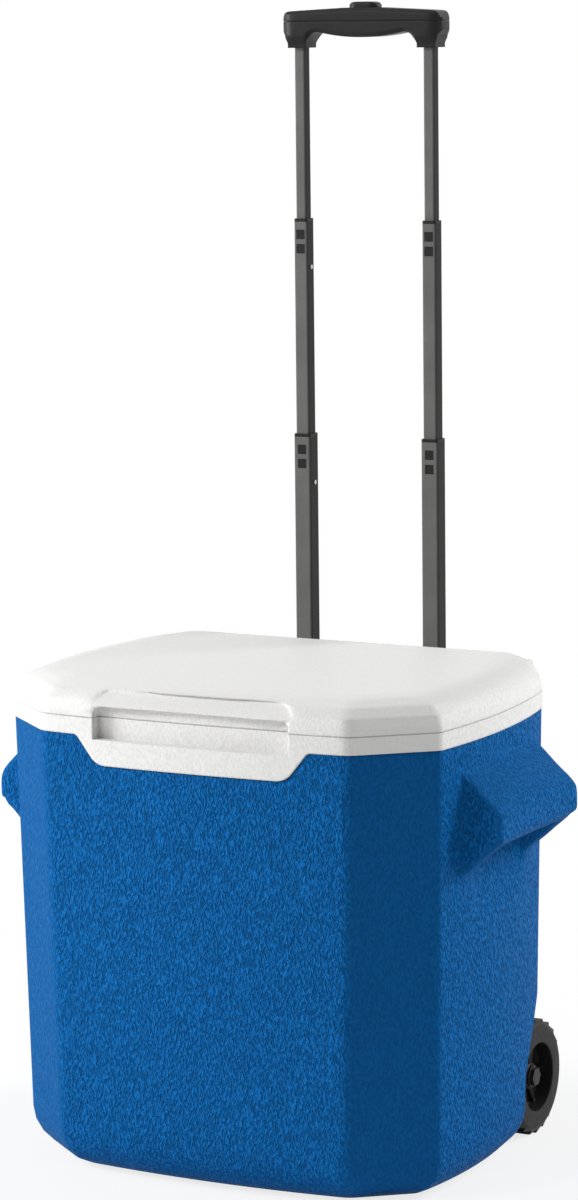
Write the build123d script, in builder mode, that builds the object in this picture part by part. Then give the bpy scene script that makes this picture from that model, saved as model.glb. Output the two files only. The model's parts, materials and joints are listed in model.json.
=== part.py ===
# Wheeled cooler with a hinged lid, two wheels and a telescoping handle.
# Millimetres. Z is up and the front panel faces -Y. The origin is on the floor,
# midway between the ends and 157 mm in front of the back panel.

from build123d import *
import os
from math import cos, radians, sin, tan

os.makedirs("parts", exist_ok=True)

# Body form, measured at its top edge
body_height = 387.6
body_length = 422.6
body_depth = 325.5
back_y = 157.0
front_bow = 8.0
front_chamfer_x = 59.8
front_chamfer_y = 53.0
end_bow_front = 6.5
end_bow_rear = 13.8
rear_chamfer_x = 23.5
rear_chamfer_y = 44.0
body_draft = 1.0
front_corner_lean = 0.023
bottom_radius = 38.0
front_corner_radius = 22.0
end_corner_radius = 9.0
rear_corner_radius = 16.0
least_corner_radius = 4.0

# How far each corner of the plan slides along its panel for each
# millimetre that the panels move inwards
front_corner_slide = 0.38
end_front_slide = 0.4
rear_slide = 0.62

# Walls of the body
shell_wall = 3.5
shell_flange = 10.0
liner_inset = 35.0
liner_wall = 2.5
liner_floor = 35.0
liner_corner_radius = 24.0
liner_floor_chamfer = 12.0
foam_gap = 0.2
foam_neck_gap = 1.8

# Rim of the liner and its front tab
rim_height = 15.0
rim_proud = 0.6
rim_wall = 3.0
tab_top_half = 110.0
tab_bottom_half = 90.0
tab_drop = 25.1
tab_corner_radius = 18.0
tab_flare_radius = 6.0
tab_thickness = 6.0
tab_clearance = 0.3
groove_half = 93.0
groove_drop = 18.0
groove_depth = 9.0
groove_wall = 3.0

# Lid
lid_gap = 0.3
lid_edge = 5.0
lid_height = 29.4
lid_bevel = 36.0
lid_wall = 3.0
lid_notch_height = 9.5
lid_notch_depth = 10.0
lid_notch_radius = 8.5
lid_brow_top_inset = 18.0
lid_brow_top_drop = 6.0
lid_brow_bottom_inset = 1.5
lid_brow_bottom_rise = 8.5
lid_brow_top_half = 86.0
lid_brow_bottom_half = 109.0
lid_pan_thickness = 2.5
lid_plug_drop = 10.5
lid_plug_clearance = 3.0
lid_plug_draft = 18.0

# Lid hinge
hinge_y = back_y - 11.5
hinge_rise = 11.8
hinge_knuckle_radius = 9.0
hinge_knuckle_inner_x = body_length / 2 - 55.8
hinge_knuckle_width = 16.0
hinge_side_gap = 0.8
hinge_swing_gap = 0.4
hinge_pin_radius = 2.5
hinge_pin_length = 28.0
hinge_boss_length = 16.0
hinge_boss_half = 10.0
hinge_boss_margin = 1.0
hinge_pin_end_gap = 1.0
running_clearance = 0.05

# Side handles, moulded with the shell; drops are from the body's top edge
grab_reach = 34.0
grab_centre_y = 3.0
grab_root_half = 80.0
grab_outer_half = 66.0
grab_top_drop = 17.6
grab_lip_top_drop = 58.6
grab_lip_bottom_drop = 88.6
grab_root_bottom_drop = 112.6
grab_lip_wall = 8.0
grab_pocket_half = 52.0
grab_pocket_top_drop = 39.6
grab_pocket_bottom_drop = 149.6
grab_pocket_depth = 10.0
grab_corner_radius = 8.0
grab_shoulder_radius = 24.0
grab_root_depth = 14.0
grab_root_taper = 4.0
grab_root_rise = 6.0
grab_ledge_reach = 3.0
grab_ledge_drop = 3.0
grab_shoulder_run = 12.0
grab_shoulder_rise = 16.0
grab_lip_fall = 4.0
grab_pocket_lean = 4.0
grab_pocket_top_chamfer = 8.0
grab_pocket_back_drop = 10.0
grab_dish_depth = 3.0
grab_dish_fall = 8.0

# Wheels and their wells
wheel_radius = 51.6
wheel_width = 36.0
wheel_face_x = body_length / 2 - 23.3
wheel_y = back_y - 30.0
wheel_recess_radius = 30.5
wheel_recess_depth = 15.0
wheel_inner_recess_radius = 40.0
wheel_inner_recess_depth = 14.0
wheel_hub_radius = 12.0
wheel_hub_setback = 7.5
wheel_spokes = 6
wheel_spoke_width = 5.0
wheel_spoke_setback = 8.0
wheel_lugs = 22
wheel_lug_depth = 1.6
well_clearance = 3.4
well_slope_clearance = 2.8
well_slope = 58.5
well_headroom = 36.8
well_front_radius = 40.0
well_top_radius = 20.0
well_side_gap = 2.0
axle_radius = 4.0
axle_grip_length = 22.0
axle_boss_radius = 9.0
hub_cap_radius = 10.0
hub_cap_thickness = 5.0
hub_cap_flange = 1.5
hub_cap_bore_depth = 2.0
axle_end_gap = 1.0
hub_cap_gap = 0.3

# Telescoping handle
mast_gap = 10.3
mast_half_spacing = 63.75
tube_wall = 0.8
upper_width = 10.4
upper_depth = 11.0
stage_step = 3.0
tube_corner_radius = 2.0
base_bottom_z = 80.0
base_top_drop = 2.6
lower_overlap = 58.0
lower_length = 284.4
middle_overlap = 58.4
middle_length = 252.5
upper_overlap = 57.5
upper_length = 209.6
collar_flange = 2.7
collar_sleeve = 35.0
collar_running_gap = 0.15
collar_fit_gap = 0.08
window_size = 8.5
window_first = 9.8
window_spacing = 12.9
window_clearance = 0.2
foot_flange = 6.0
foot_plug = 8.0
foot_bore_wall = 2.0
lock_pin_radius = 2.0
lock_pin_height = 14.0
lock_hole_clearance = 0.3
lock_pin_proud = 1.0
lock_leaf_bottom = 8.5
lock_leaf_top = 25.0
lock_leaf_thickness = 0.6
lock_leaf_width = 6.0

# Grip at the top of the handle; rises are from the lower edge of its legs,
# and reaches along X are from the middle of a tube
grip_end_reach = 17.75
grip_depth = 28.0
grip_rise = 35.2
grip_shoulder_rise = 31.9
grip_split_rise = 23.4
grip_belly_rise = 9.2
grip_arch_rise = 13.9
grip_arch_reach = 21.75
grip_leg_outer = 13.0
grip_leg_inner = 11.35
grip_edge_chamfer = 3.0
grip_end_radius = 9.0
grip_arch_radius = 9.0
grip_seam = 0.15
grip_cavity_reach = 7.25
grip_cavity_depth = 15.0
grip_cavity_bottom_rise = 16.6
grip_cavity_top_rise = 30.9
grip_screw_rise = 8.0
grip_screw_gap = 0.3
grip_leg_lip = 2.0
grip_leg_step = 3.0
button_crown_margin = 1.0
button_half_length = 15.0
button_half_depth = 8.5
button_edge = 1.2
button_rise = 40.4
button_travel = 5.0
button_clearance = 0.3
button_stop_gap = 0.5
release_rod_gap = 1.0
release_bar_height = 4.0
release_bar_depth = 10.0
release_bar_reach = 3.25
button_stem_half = 10.0
release_rod_radius = 1.5
spring_radius = 3.4
spring_wall = 0.6
spring_seat_rise = 12.4

# Brackets that carry the handle on the back panel
bracket_height = 34.0
bracket_sleeve_wall = 3.5
bracket_corner_radius = 4.0
bracket_seat_gap = 0.1
bracket_screw_gap = 0.2
upper_bracket_drop = 9.6
lower_bracket_rise = 38.0
screw_head_radius = 4.5
screw_head_height = 2.6
screw_shank_radius = 2.0
bracket_screw_x = 34.0

# Places worked out from the sizes above
front_y = back_y - body_depth
half_length = body_length / 2
seam_z = body_height + rim_height
lid_base_z = seam_z + lid_gap
lid_top_z = seam_z + lid_height
hinge_z = seam_z + hinge_rise
grab_top_z = body_height - grab_top_drop
grab_lip_top_z = body_height - grab_lip_top_drop
grab_lip_bottom_z = body_height - grab_lip_bottom_drop
grab_root_bottom_z = body_height - grab_root_bottom_drop
grab_pocket_top_z = body_height - grab_pocket_top_drop
grab_pocket_bottom_z = body_height - grab_pocket_bottom_drop
wheel_z = wheel_radius
wheel_inner_x = wheel_face_x - wheel_width
well_inner_x = wheel_inner_x - well_side_gap
well_top_z = 2 * wheel_radius + well_headroom
well_bend_z = wheel_z + (
    wheel_radius + well_slope_clearance
    - (wheel_radius + well_clearance) * sin(radians(well_slope))
) / cos(radians(well_slope))
middle_width = upper_width + stage_step
middle_depth = upper_depth + stage_step
lower_width = middle_width + stage_step
lower_depth = middle_depth + stage_step
base_width = lower_width + stage_step
base_depth = lower_depth + stage_step
mast_y = back_y + mast_gap + base_depth / 2
base_top_z = body_height - base_top_drop
lower_bottom_z = base_top_z - lower_overlap
lower_top_z = lower_bottom_z + lower_length
middle_bottom_z = lower_top_z - middle_overlap
middle_top_z = middle_bottom_z + middle_length
upper_bottom_z = middle_top_z - upper_overlap
grip_bottom_z = upper_bottom_z + upper_length
grip_top_z = grip_bottom_z + grip_rise
grip_shoulder_z = grip_bottom_z + grip_shoulder_rise
grip_split_z = grip_bottom_z + grip_split_rise
grip_belly_z = grip_bottom_z + grip_belly_rise
grip_arch_z = grip_bottom_z + grip_arch_rise
grip_cavity_bottom_z = grip_bottom_z + grip_cavity_bottom_rise
grip_cavity_top_z = grip_bottom_z + grip_cavity_top_rise
grip_half_length = mast_half_spacing + grip_end_reach
grip_cavity_half = mast_half_spacing + grip_cavity_reach
grip_arch_x = mast_half_spacing - grip_arch_reach
release_bar_half = mast_half_spacing + release_bar_reach
button_top_z = grip_bottom_z + button_rise
spring_seat_z = grip_bottom_z + spring_seat_rise
upper_bracket_top_z = body_height - upper_bracket_drop
lower_bracket_top_z = base_bottom_z + lower_bracket_rise
through = 3 * body_length

# Ways to draw the body's panels: true arcs, two straight runs, or one
BOWED = "bowed"
KINKED = "kinked"
FLAT = "flat"


def export(piece, name):
    """Label a finished piece and write its STEP file."""
    piece.label = name
    export_step(piece, f"parts/{name}.step")


def panel(start, middle, end, style):
    """One side of the plan: a bowed arc, two straight runs or a single one."""
    if style == BOWED:
        ThreePointArc(start, middle, end)
    elif style == KINKED:
        Polyline(start, middle, end)
    else:
        Line(start, end)


def body_plan(height, inset, wall, style=BOWED):
    """Face of the body's outline at a height.

    The inset moves the panels inwards and keeps the corner radii; the wall
    moves them further and tightens the corners, as a wall's inner side does.
    Only the bowed style has rounded corners.
    """
    drop = max(body_height - height, 0.0)
    drafted = drop * tan(radians(body_draft))
    inward = inset + wall
    front = drafted + inward
    corner = (
        half_length - end_bow_front - front_chamfer_x - drop * front_corner_lean
        - front_corner_slide * inward,
        front_y + front_bow + front,
    )
    end_front = (
        half_length - end_bow_front - front,
        front_y + front_bow + front_chamfer_y + drafted + end_front_slide * inward,
    )
    end_rear = (
        half_length - end_bow_rear - front,
        back_y - rear_chamfer_y - rear_slide * inward,
    )
    end_middle = (half_length - front, (end_front[1] + end_rear[1]) / 2)
    back = (
        half_length - end_bow_rear - rear_chamfer_x - drafted - rear_slide * inward,
        back_y - inward,
    )
    with BuildSketch(Plane.XY.offset(height)) as outline:
        with BuildLine():
            panel((-corner[0], corner[1]), (0, front_y + front), corner, style)
            Line(corner, end_front)
            panel(end_front, end_middle, end_rear, style)
            Line(end_rear, back)
            Line(back, (-back[0], back[1]))
            Line((-back[0], back[1]), (-end_rear[0], end_rear[1]))
            panel((-end_rear[0], end_rear[1]), (-end_middle[0], end_middle[1]),
                  (-end_front[0], end_front[1]), style)
            Line((-end_front[0], end_front[1]), (-corner[0], corner[1]))
        make_face()
        if style == BOWED:
            for place, radius in (
                (corner, front_corner_radius), (end_front, end_corner_radius),
                (end_rear, rear_corner_radius), (back, rear_corner_radius),
            ):
                fillet([point for point in outline.vertices()
                        if abs(abs(point.X) - place[0]) < 0.01
                        and abs(point.Y - place[1]) < 0.01],
                       max(radius - wall, least_corner_radius))
    return outline.sketch


def body_form(wall, floor, top, radius, steps, style=BOWED):
    """Solid of the body's form inside a wall, from a floor to a top height.

    A ring halfway up the sides keeps their bowed faces true between two arcs
    that are not quite alike.
    """
    rounded = []
    for step in range(steps + 1):
        turn = radians(90.0 * step / steps)
        rounded.append(body_plan(
            floor + radius * (1 - cos(turn)), radius * (1 - sin(turn)), wall, style))
    with BuildPart() as form:
        loft([*rounded, body_plan((floor + radius + top) / 2, 0, wall, style),
              body_plan(top, 0, wall, style)], ruled=True)
    return form.part


def plan_block(wall, bottom, top, style=BOWED):
    """Straight block with the outline of the body's top edge inside a wall."""
    with BuildPart() as block:
        add(body_plan(body_height, 0, wall, style).moved(
            Location((0, 0, bottom - body_height))))
        extrude(amount=top - bottom)
    return block.part


def tub_form(wall, floor, top):
    """Drafted block with flat sides inside a wall, from a floor to a top height."""
    with BuildPart() as form:
        add(plan_block(wall, floor, top, FLAT))
        sides = form.faces().filter_by(lambda face: abs(face.normal_at().Z) < 0.1)
        draft(sides, Plane.XY.offset(body_height), -body_draft)
    return form.part


def centred_box(x_low, x_high, y_low, y_high, z_low, z_high):
    """Box between two corners."""
    with BuildPart(Plane.XY.offset(z_low)) as box:
        with Locations(((x_low + x_high) / 2, (y_low + y_high) / 2)):
            Box(x_high - x_low, y_high - y_low, z_high - z_low,
                align=(Align.CENTER, Align.CENTER, Align.MIN))
    return box.part


def side_block(points, y_low, y_high):
    """Prism along Y from an outline of X and Z points."""
    with BuildPart() as block:
        with BuildSketch(Plane.XZ.offset(-y_low)) as outline:
            with BuildLine():
                Polyline(points, close=True)
            make_face()
        extrude(amount=-(y_high - y_low))
    return block.part


def wheel_well(grow):
    """Space of a wheel in the right rear corner, open below and behind."""
    inner_x = well_inner_x - grow
    front = wheel_y - wheel_radius - well_clearance - grow
    bend_z = well_bend_z + grow * tan(radians((90.0 - well_slope) / 2))
    top = well_top_z + grow
    with BuildPart() as well:
        with BuildSketch(Plane.YZ.offset(inner_x)) as outline:
            with BuildLine():
                Polyline(
                    (front, -through),
                    (front, bend_z),
                    (front + (top - bend_z) / tan(radians(well_slope)), top),
                    (through, top),
                    (through, -through),
                    close=True,
                )
            make_face()
            fillet(outline.vertices().filter_by_position(Axis.Y, bend_z - 1, bend_z + 1),
                   well_front_radius + grow)
            fillet(outline.vertices().filter_by_position(Axis.Y, top - 1, top + 1)
                   .sort_by(Axis.X)[0], well_top_radius + grow)
        extrude(amount=half_length)
    return well.part


def grab_pocket(grow):
    """Finger space under the right handle, with its dish in the end panel."""
    panel_x = half_length - (body_height - grab_lip_bottom_z) * tan(radians(body_draft))
    inner_x = panel_x - grab_pocket_depth - grow
    lip_x = panel_x + grab_reach - grab_lip_wall
    points = (
        (lip_x, grab_pocket_bottom_z),
        (lip_x, grab_lip_top_z - grab_lip_wall),
        (panel_x + grab_pocket_lean, grab_pocket_top_z),
        (inner_x + grab_pocket_lean, grab_pocket_top_z + grow),
        (inner_x, grab_pocket_top_z - grab_pocket_top_chamfer),
        (inner_x, grab_lip_bottom_z - grab_pocket_back_drop),
        (panel_x - grab_dish_depth - grow, grab_pocket_bottom_z - grow),
        (panel_x + grab_pocket_lean, grab_pocket_bottom_z - grow - grab_dish_fall),
    )
    return side_block(points, grab_centre_y - grab_pocket_half - grow,
                      grab_centre_y + grab_pocket_half + grow)


def rim_groove(grow):
    """Finger groove in the front of the rim, below the lid's edge."""
    bottom = seam_z - groove_drop - grow
    with BuildPart() as groove:
        add(centred_box(-groove_half - grow, groove_half + grow,
                        front_y - through, 0, bottom, seam_z))
        add(plan_block(groove_depth + grow, bottom - 1, seam_z + 1), mode=Mode.SUBTRACT)
    return groove.part


def tab_form(grow):
    """Front tab of the rim, seen from the front, as a deep prism."""
    with BuildPart() as form:
        with BuildSketch(Plane.XZ) as outline:
            with BuildLine():
                Polyline(
                    (0, seam_z),
                    (-tab_top_half - 2 * tab_flare_radius - grow, seam_z),
                    (-tab_top_half - 2 * tab_flare_radius - grow, body_height),
                    (-tab_top_half - grow, body_height),
                    (-tab_bottom_half - grow, body_height - tab_drop - grow),
                    (0, body_height - tab_drop - grow),
                )
                mirror(about=Plane.YZ)
            make_face()
            fillet(outline.vertices().group_by(Axis.Y)[0], tab_corner_radius)
            fillet(outline.vertices().filter_by(
                lambda point: abs(abs(point.X) - tab_top_half - grow) < 0.01), tab_flare_radius)
        extrude(amount=through)
    return form.part


# Outer shell: the blue body with its handles and wheel wells
cavity_top_z = body_height - shell_wall
body_outer = body_form(0, 0, body_height, bottom_radius, 5)
body_cavity = body_form(shell_wall, shell_wall, cavity_top_z, bottom_radius - shell_wall, 2,
                        KINKED)
panel_x = half_length - (body_height - grab_lip_bottom_z) * tan(radians(body_draft))
lip_x = panel_x + grab_reach
with BuildPart() as grab_handle:
    with BuildSketch(Plane.XZ.offset(-grab_centre_y)) as grab_side:
        with BuildLine():
            Polyline(
                (panel_x - grab_root_depth, grab_top_z + grab_root_rise),
                (panel_x + grab_ledge_reach, grab_top_z - grab_ledge_drop),
                (lip_x - grab_shoulder_run, grab_lip_top_z + grab_shoulder_rise),
                (lip_x, grab_lip_top_z - grab_lip_fall),
                (lip_x, grab_lip_bottom_z),
                (panel_x, grab_root_bottom_z),
                (panel_x - grab_root_depth, grab_root_bottom_z - grab_root_taper),
                close=True,
            )
        make_face()
        fillet(grab_side.vertices().filter_by(
            lambda point: abs(point.Y - grab_lip_top_z - grab_shoulder_rise) < 1.0),
            grab_shoulder_radius)
    extrude(amount=through / 2, both=True)
    with BuildSketch(Plane.XY.offset(grab_root_bottom_z - 5 * grab_root_taper)) as grab_plan:
        with BuildLine():
            Polyline(
                (panel_x - grab_root_depth,
                 grab_centre_y - grab_root_half - grab_root_taper),
                (panel_x, grab_centre_y - grab_root_half),
                (lip_x, grab_centre_y - grab_outer_half),
                (lip_x, grab_centre_y + grab_outer_half),
                (panel_x, grab_centre_y + grab_root_half),
                (panel_x - grab_root_depth,
                 grab_centre_y + grab_root_half + grab_root_taper),
                close=True,
            )
        make_face()
    extrude(amount=through, mode=Mode.INTERSECT)
    # Every edge outside the panel is rounded except the crisp lower ones
    fillet(grab_handle.edges().filter_by(
        lambda edge: edge.center().X > panel_x + 4.0
        and edge.center().Z > grab_lip_bottom_z + 4.0
        and abs(edge.center().Y - grab_centre_y) > grab_outer_half - 1.0), grab_corner_radius)

with BuildPart() as shell_side:
    add(grab_handle)
    add(body_outer, mode=Mode.SUBTRACT)

with BuildPart() as shell_backing:
    add(wheel_well(shell_wall))
    add(grab_pocket(shell_wall))
    add(body_outer, mode=Mode.INTERSECT)

with BuildPart() as axle_boss:
    with BuildSketch(Plane.YZ.offset(well_inner_x - axle_grip_length)):
        with Locations((wheel_y, wheel_z)):
            Circle(axle_boss_radius)
    extrude(amount=axle_grip_length)

with BuildPart() as side_cuts:
    add(wheel_well(0))
    add(grab_pocket(0))
    with BuildSketch(Plane.YZ.offset(well_inner_x - axle_grip_length + shell_wall)):
        with Locations((wheel_y, wheel_z)):
            Circle(axle_radius + running_clearance)
    extrude(amount=axle_grip_length)

with BuildPart() as outer_shell:
    add(body_outer)
    add(body_cavity, mode=Mode.SUBTRACT)
    add(plan_block(shell_flange, body_height - through / 20, body_height + 1), mode=Mode.SUBTRACT)
    add(shell_backing)
    add(mirror(shell_backing.part, about=Plane.YZ))
    add(axle_boss)
    add(mirror(axle_boss.part, about=Plane.YZ))
    add(shell_side)
    add(mirror(shell_side.part, about=Plane.YZ))
    add(side_cuts, mode=Mode.SUBTRACT)
    add(mirror(side_cuts.part, about=Plane.YZ), mode=Mode.SUBTRACT)
    add(tab_form(tab_clearance), mode=Mode.SUBTRACT)
    add(centred_box(
        -groove_half - groove_wall - tab_clearance, groove_half + groove_wall + tab_clearance,
        front_y - 5.0, front_y + front_bow + groove_depth + groove_wall + tab_clearance + 1.0,
        seam_z - groove_drop - groove_wall - tab_clearance, body_height + 1), mode=Mode.SUBTRACT)
export(outer_shell.part, "outer_shell")

# Liner: the white inner tub with the rim, its front tab and the hinge ears
relief = shell_wall + liner_inset - shell_flange
with BuildPart() as tub_outside:
    add(tub_form(liner_inset, liner_floor, seam_z - 1.0))
    add(wheel_well(relief), mode=Mode.SUBTRACT)
    add(mirror(wheel_well(relief), about=Plane.YZ), mode=Mode.SUBTRACT)

with BuildPart() as tub_inside:
    add(tub_form(liner_inset + liner_wall, liner_floor + liner_wall, seam_z + 1.0))
    fillet(tub_inside.edges().filter_by(lambda edge: abs((edge % 0.5).Z) > 0.9),
           liner_corner_radius)
    chamfer(tub_inside.faces().sort_by(Axis.Z)[0].edges(), liner_floor_chamfer)
    add(wheel_well(relief + liner_wall), mode=Mode.SUBTRACT)
    add(mirror(wheel_well(relief + liner_wall), about=Plane.YZ), mode=Mode.SUBTRACT)

with BuildPart() as front_tab:
    add(plan_block(-rim_proud, body_height - tab_drop - 1, body_height))
    add(plan_block(tab_thickness, body_height - tab_drop - 2, body_height + 1),
        mode=Mode.SUBTRACT)
    add(tab_form(0), mode=Mode.INTERSECT)

with BuildPart() as groove_back:
    add(centred_box(-groove_half - groove_wall, groove_half + groove_wall, front_y - 5.0,
                    front_y + front_bow + groove_depth + groove_wall + 1.0,
                    seam_z - groove_drop - groove_wall, seam_z))
    add(plan_block(-rim_proud, 0, seam_z), mode=Mode.INTERSECT)

with BuildPart() as hinge_ear:
    with BuildSketch(Plane.YZ.offset(hinge_knuckle_inner_x)):
        with Locations((hinge_y, hinge_z)):
            Circle(hinge_knuckle_radius)
            Rectangle(2 * hinge_knuckle_radius, hinge_rise + 1.0,
                      align=(Align.CENTER, Align.MAX))
    extrude(amount=hinge_knuckle_width)
    with BuildSketch(Plane.YZ.offset(hinge_knuckle_inner_x)):
        with Locations((hinge_y, hinge_z)):
            Circle(hinge_pin_radius + running_clearance)
    extrude(amount=hinge_pin_length - hinge_boss_length + hinge_pin_end_gap,
            mode=Mode.SUBTRACT)

with BuildPart() as liner:
    add(plan_block(-rim_proud, body_height, seam_z))
    add(plan_block(-rim_proud + rim_wall, body_height - 1, seam_z - rim_wall),
        mode=Mode.SUBTRACT)
    add(front_tab)
    add(groove_back)
    add(rim_groove(0), mode=Mode.SUBTRACT)
    add(tub_outside)
    add(tub_inside, mode=Mode.SUBTRACT)
    add(hinge_ear)
    add(mirror(hinge_ear.part, about=Plane.YZ))
export(liner.part, "liner")
print("inside volume to the seam, litres:", round(tub_inside.part.volume / 1e6, 1))

# Foam between the shell and the liner
with BuildPart() as body_foam:
    add(body_form(shell_wall + foam_gap, shell_wall + foam_gap, cavity_top_z - foam_gap,
                  bottom_radius - shell_wall, 2, KINKED))
    add(plan_block(shell_flange + foam_neck_gap, cavity_top_z - 5.0,
                   seam_z - rim_wall - foam_gap, KINKED))
    add(tub_form(liner_inset - foam_gap, liner_floor - foam_gap, seam_z + 1.0),
        mode=Mode.SUBTRACT)
    for grown in (wheel_well(shell_wall + foam_gap), grab_pocket(shell_wall + foam_gap)):
        add(grown, mode=Mode.SUBTRACT)
        add(mirror(grown, about=Plane.YZ), mode=Mode.SUBTRACT)
    with BuildSketch(Plane.YZ.offset(-half_length)):
        with Locations((wheel_y, wheel_z)):
            Circle(axle_boss_radius + foam_gap)
    extrude(amount=half_length - well_inner_x + axle_grip_length + foam_gap,
            mode=Mode.SUBTRACT)
    with BuildSketch(Plane.YZ.offset(well_inner_x - axle_grip_length - foam_gap)):
        with Locations((wheel_y, wheel_z)):
            Circle(axle_boss_radius + foam_gap)
    extrude(amount=half_length, mode=Mode.SUBTRACT)
    add(centred_box(
        -tab_top_half - 4.0, tab_top_half + 4.0, front_y - 5.0,
        front_y + front_bow + groove_depth + groove_wall + 2.0,
        body_height - tab_drop - 2.0, seam_z + 1), mode=Mode.SUBTRACT)
export(body_foam.part, "body_foam")

# Lid
bevel_rise = lid_top_z - lid_base_z - lid_edge


def lid_form(wall, bottom, lift, steps, style=BOWED):
    """Solid of the lid's form inside a wall: a short edge, then a domed bevel."""
    edge_top = lid_base_z + lid_edge
    rings = []
    for step in range(steps + 1):
        turn = radians(90.0 * step / steps)
        face = body_plan(body_height, lid_bevel * (1 - cos(turn)), -rim_proud + wall, style)
        height = edge_top + (bevel_rise - lift) * sin(turn)
        rings.append(face.moved(Location((0, 0, height - body_height))))
    with BuildPart() as form:
        loft(rings, ruled=True)
        add(plan_block(-rim_proud + wall, bottom, edge_top, style))
    return form.part


def lid_notch(grow):
    """Finger notch under the front edge of the lid."""
    top = lid_base_z + lid_notch_height + grow
    with BuildPart() as notch:
        with BuildSketch(Plane.XZ) as outline:
            with Locations((0, top)):
                Rectangle(2 * (groove_half + grow), top - lid_base_z + 1,
                          align=(Align.CENTER, Align.MAX))
            fillet(outline.vertices().group_by(Axis.Y)[-1], lid_notch_radius)
        extrude(amount=through)
        add(plan_block(-rim_proud + lid_notch_depth + grow, lid_base_z - 2, top + 1),
            mode=Mode.SUBTRACT)
    return notch.part


def lid_brow(grow):
    """Flat facet across the lid's bevel above its finger notch."""
    top = (front_y + lid_brow_top_inset, lid_top_z - lid_brow_top_drop)
    bottom = (front_y + lid_brow_bottom_inset, lid_base_z + lid_brow_bottom_rise)
    slope = Vector(0, bottom[0] - top[0], bottom[1] - top[1])
    facet = Plane(origin=(0, *top), x_dir=(1, 0, 0), z_dir=slope.cross(Vector(1, 0, 0)))
    with BuildPart() as brow:
        with BuildSketch(Plane.XZ) as outline:
            with BuildLine():
                Polyline(
                    (-lid_brow_bottom_half - grow, bottom[1] - lid_brow_bottom_rise),
                    (-lid_brow_top_half - grow, top[1] + 2 * grow),
                    (lid_brow_top_half + grow, top[1] + 2 * grow),
                    (lid_brow_bottom_half + grow, bottom[1] - lid_brow_bottom_rise),
                    close=True,
                )
            make_face()
        extrude(amount=through)
        split(bisect_by=facet.offset(-grow), keep=Keep.TOP)
    return brow.part


hinge_block_y = hinge_y - hinge_boss_margin
boss_outer_x = hinge_knuckle_inner_x - hinge_side_gap
with BuildPart() as hinge_boss:
    add(centred_box(boss_outer_x - hinge_boss_length, boss_outer_x,
                    hinge_y - hinge_boss_half, hinge_block_y + hinge_boss_margin,
                    lid_base_z, lid_top_z))
    add(mirror(hinge_boss.part, about=Plane.YZ))

with BuildPart() as lid_hollow:
    add(lid_form(lid_wall, lid_base_z, lid_wall, 3, KINKED))
    add(lid_notch(lid_wall), mode=Mode.SUBTRACT)
    add(lid_brow(lid_wall), mode=Mode.SUBTRACT)
    add(hinge_boss, mode=Mode.SUBTRACT)
    add(centred_box(-through, through, hinge_block_y, through, 0, through),
        mode=Mode.SUBTRACT)

# Space behind and below the hinge axis that the lid must leave free to swing
with BuildPart() as swing_relief:
    add(centred_box(-through / 2, through / 2, hinge_y, hinge_y + 40.0,
                    hinge_z - 40.0, hinge_z))
    with BuildSketch(Plane.YZ.offset(-through)):
        with Locations((hinge_y, hinge_z)):
            Circle(hinge_rise - hinge_swing_gap)
    extrude(amount=2 * through, mode=Mode.SUBTRACT)

with BuildPart() as ear_notch:
    add(centred_box(
        hinge_knuckle_inner_x - hinge_side_gap,
        hinge_knuckle_inner_x + hinge_knuckle_width + hinge_side_gap,
        hinge_y - hinge_knuckle_radius - 1.0, through, 0, through))
    with BuildSketch(Plane.YZ.offset(
            hinge_knuckle_inner_x - hinge_pin_length / 2 - 2 * hinge_pin_end_gap)):
        with Locations((hinge_y, hinge_z)):
            Circle(hinge_pin_radius + running_clearance)
    extrude(amount=hinge_pin_length)
    add(mirror(ear_notch.part, about=Plane.YZ))

with BuildPart() as lid_shell:
    add(lid_form(0, lid_base_z, 0, 4))
    add(lid_hollow, mode=Mode.SUBTRACT)
    add(lid_notch(0), mode=Mode.SUBTRACT)
    add(lid_brow(0), mode=Mode.SUBTRACT)
    add(swing_relief, mode=Mode.SUBTRACT)
    add(ear_notch, mode=Mode.SUBTRACT)
export(lid_shell.part, "lid_shell")

# Lid liner: the plate that closes the lid's underside, with the plug that
# reaches into the tub
plug_wall = liner_inset + liner_wall + lid_plug_clearance
plug_bottom_z = seam_z - lid_plug_drop
plug_taper = (lid_plug_drop + lid_gap) * tan(radians(lid_plug_draft))
with BuildPart() as lid_plug:
    add(plan_block(plug_wall, plug_bottom_z, lid_base_z, FLAT))
    draft(lid_plug.faces().filter_by(lambda face: abs(face.normal_at().Z) < 0.1),
          Plane.XY.offset(lid_base_z), -lid_plug_draft)
    fillet(lid_plug.edges().filter_by(lambda edge: abs((edge % 0.5).Z) > 0.7),
           liner_corner_radius - lid_plug_clearance)

with BuildPart() as lid_liner:
    add(plan_block(-rim_proud + lid_wall + foam_gap, lid_base_z,
                   lid_base_z + lid_pan_thickness, KINKED))
    add(lid_plug)
    add(plan_block(plug_wall + plug_taper + lid_pan_thickness,
                   plug_bottom_z + lid_pan_thickness, lid_top_z, FLAT), mode=Mode.SUBTRACT)
    add(lid_notch(lid_wall + foam_gap), mode=Mode.SUBTRACT)
    add(centred_box(-through, through, hinge_block_y - foam_gap, through, 0, through),
        mode=Mode.SUBTRACT)
    add(centred_box(
        boss_outer_x - hinge_boss_length - foam_gap, through,
        hinge_y - hinge_boss_half - foam_gap, through, 0, through), mode=Mode.SUBTRACT)
    add(centred_box(
        -through, -boss_outer_x + hinge_boss_length + foam_gap,
        hinge_y - hinge_boss_half - foam_gap, through, 0, through), mode=Mode.SUBTRACT)
export(lid_liner.part, "lid_liner")

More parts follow.
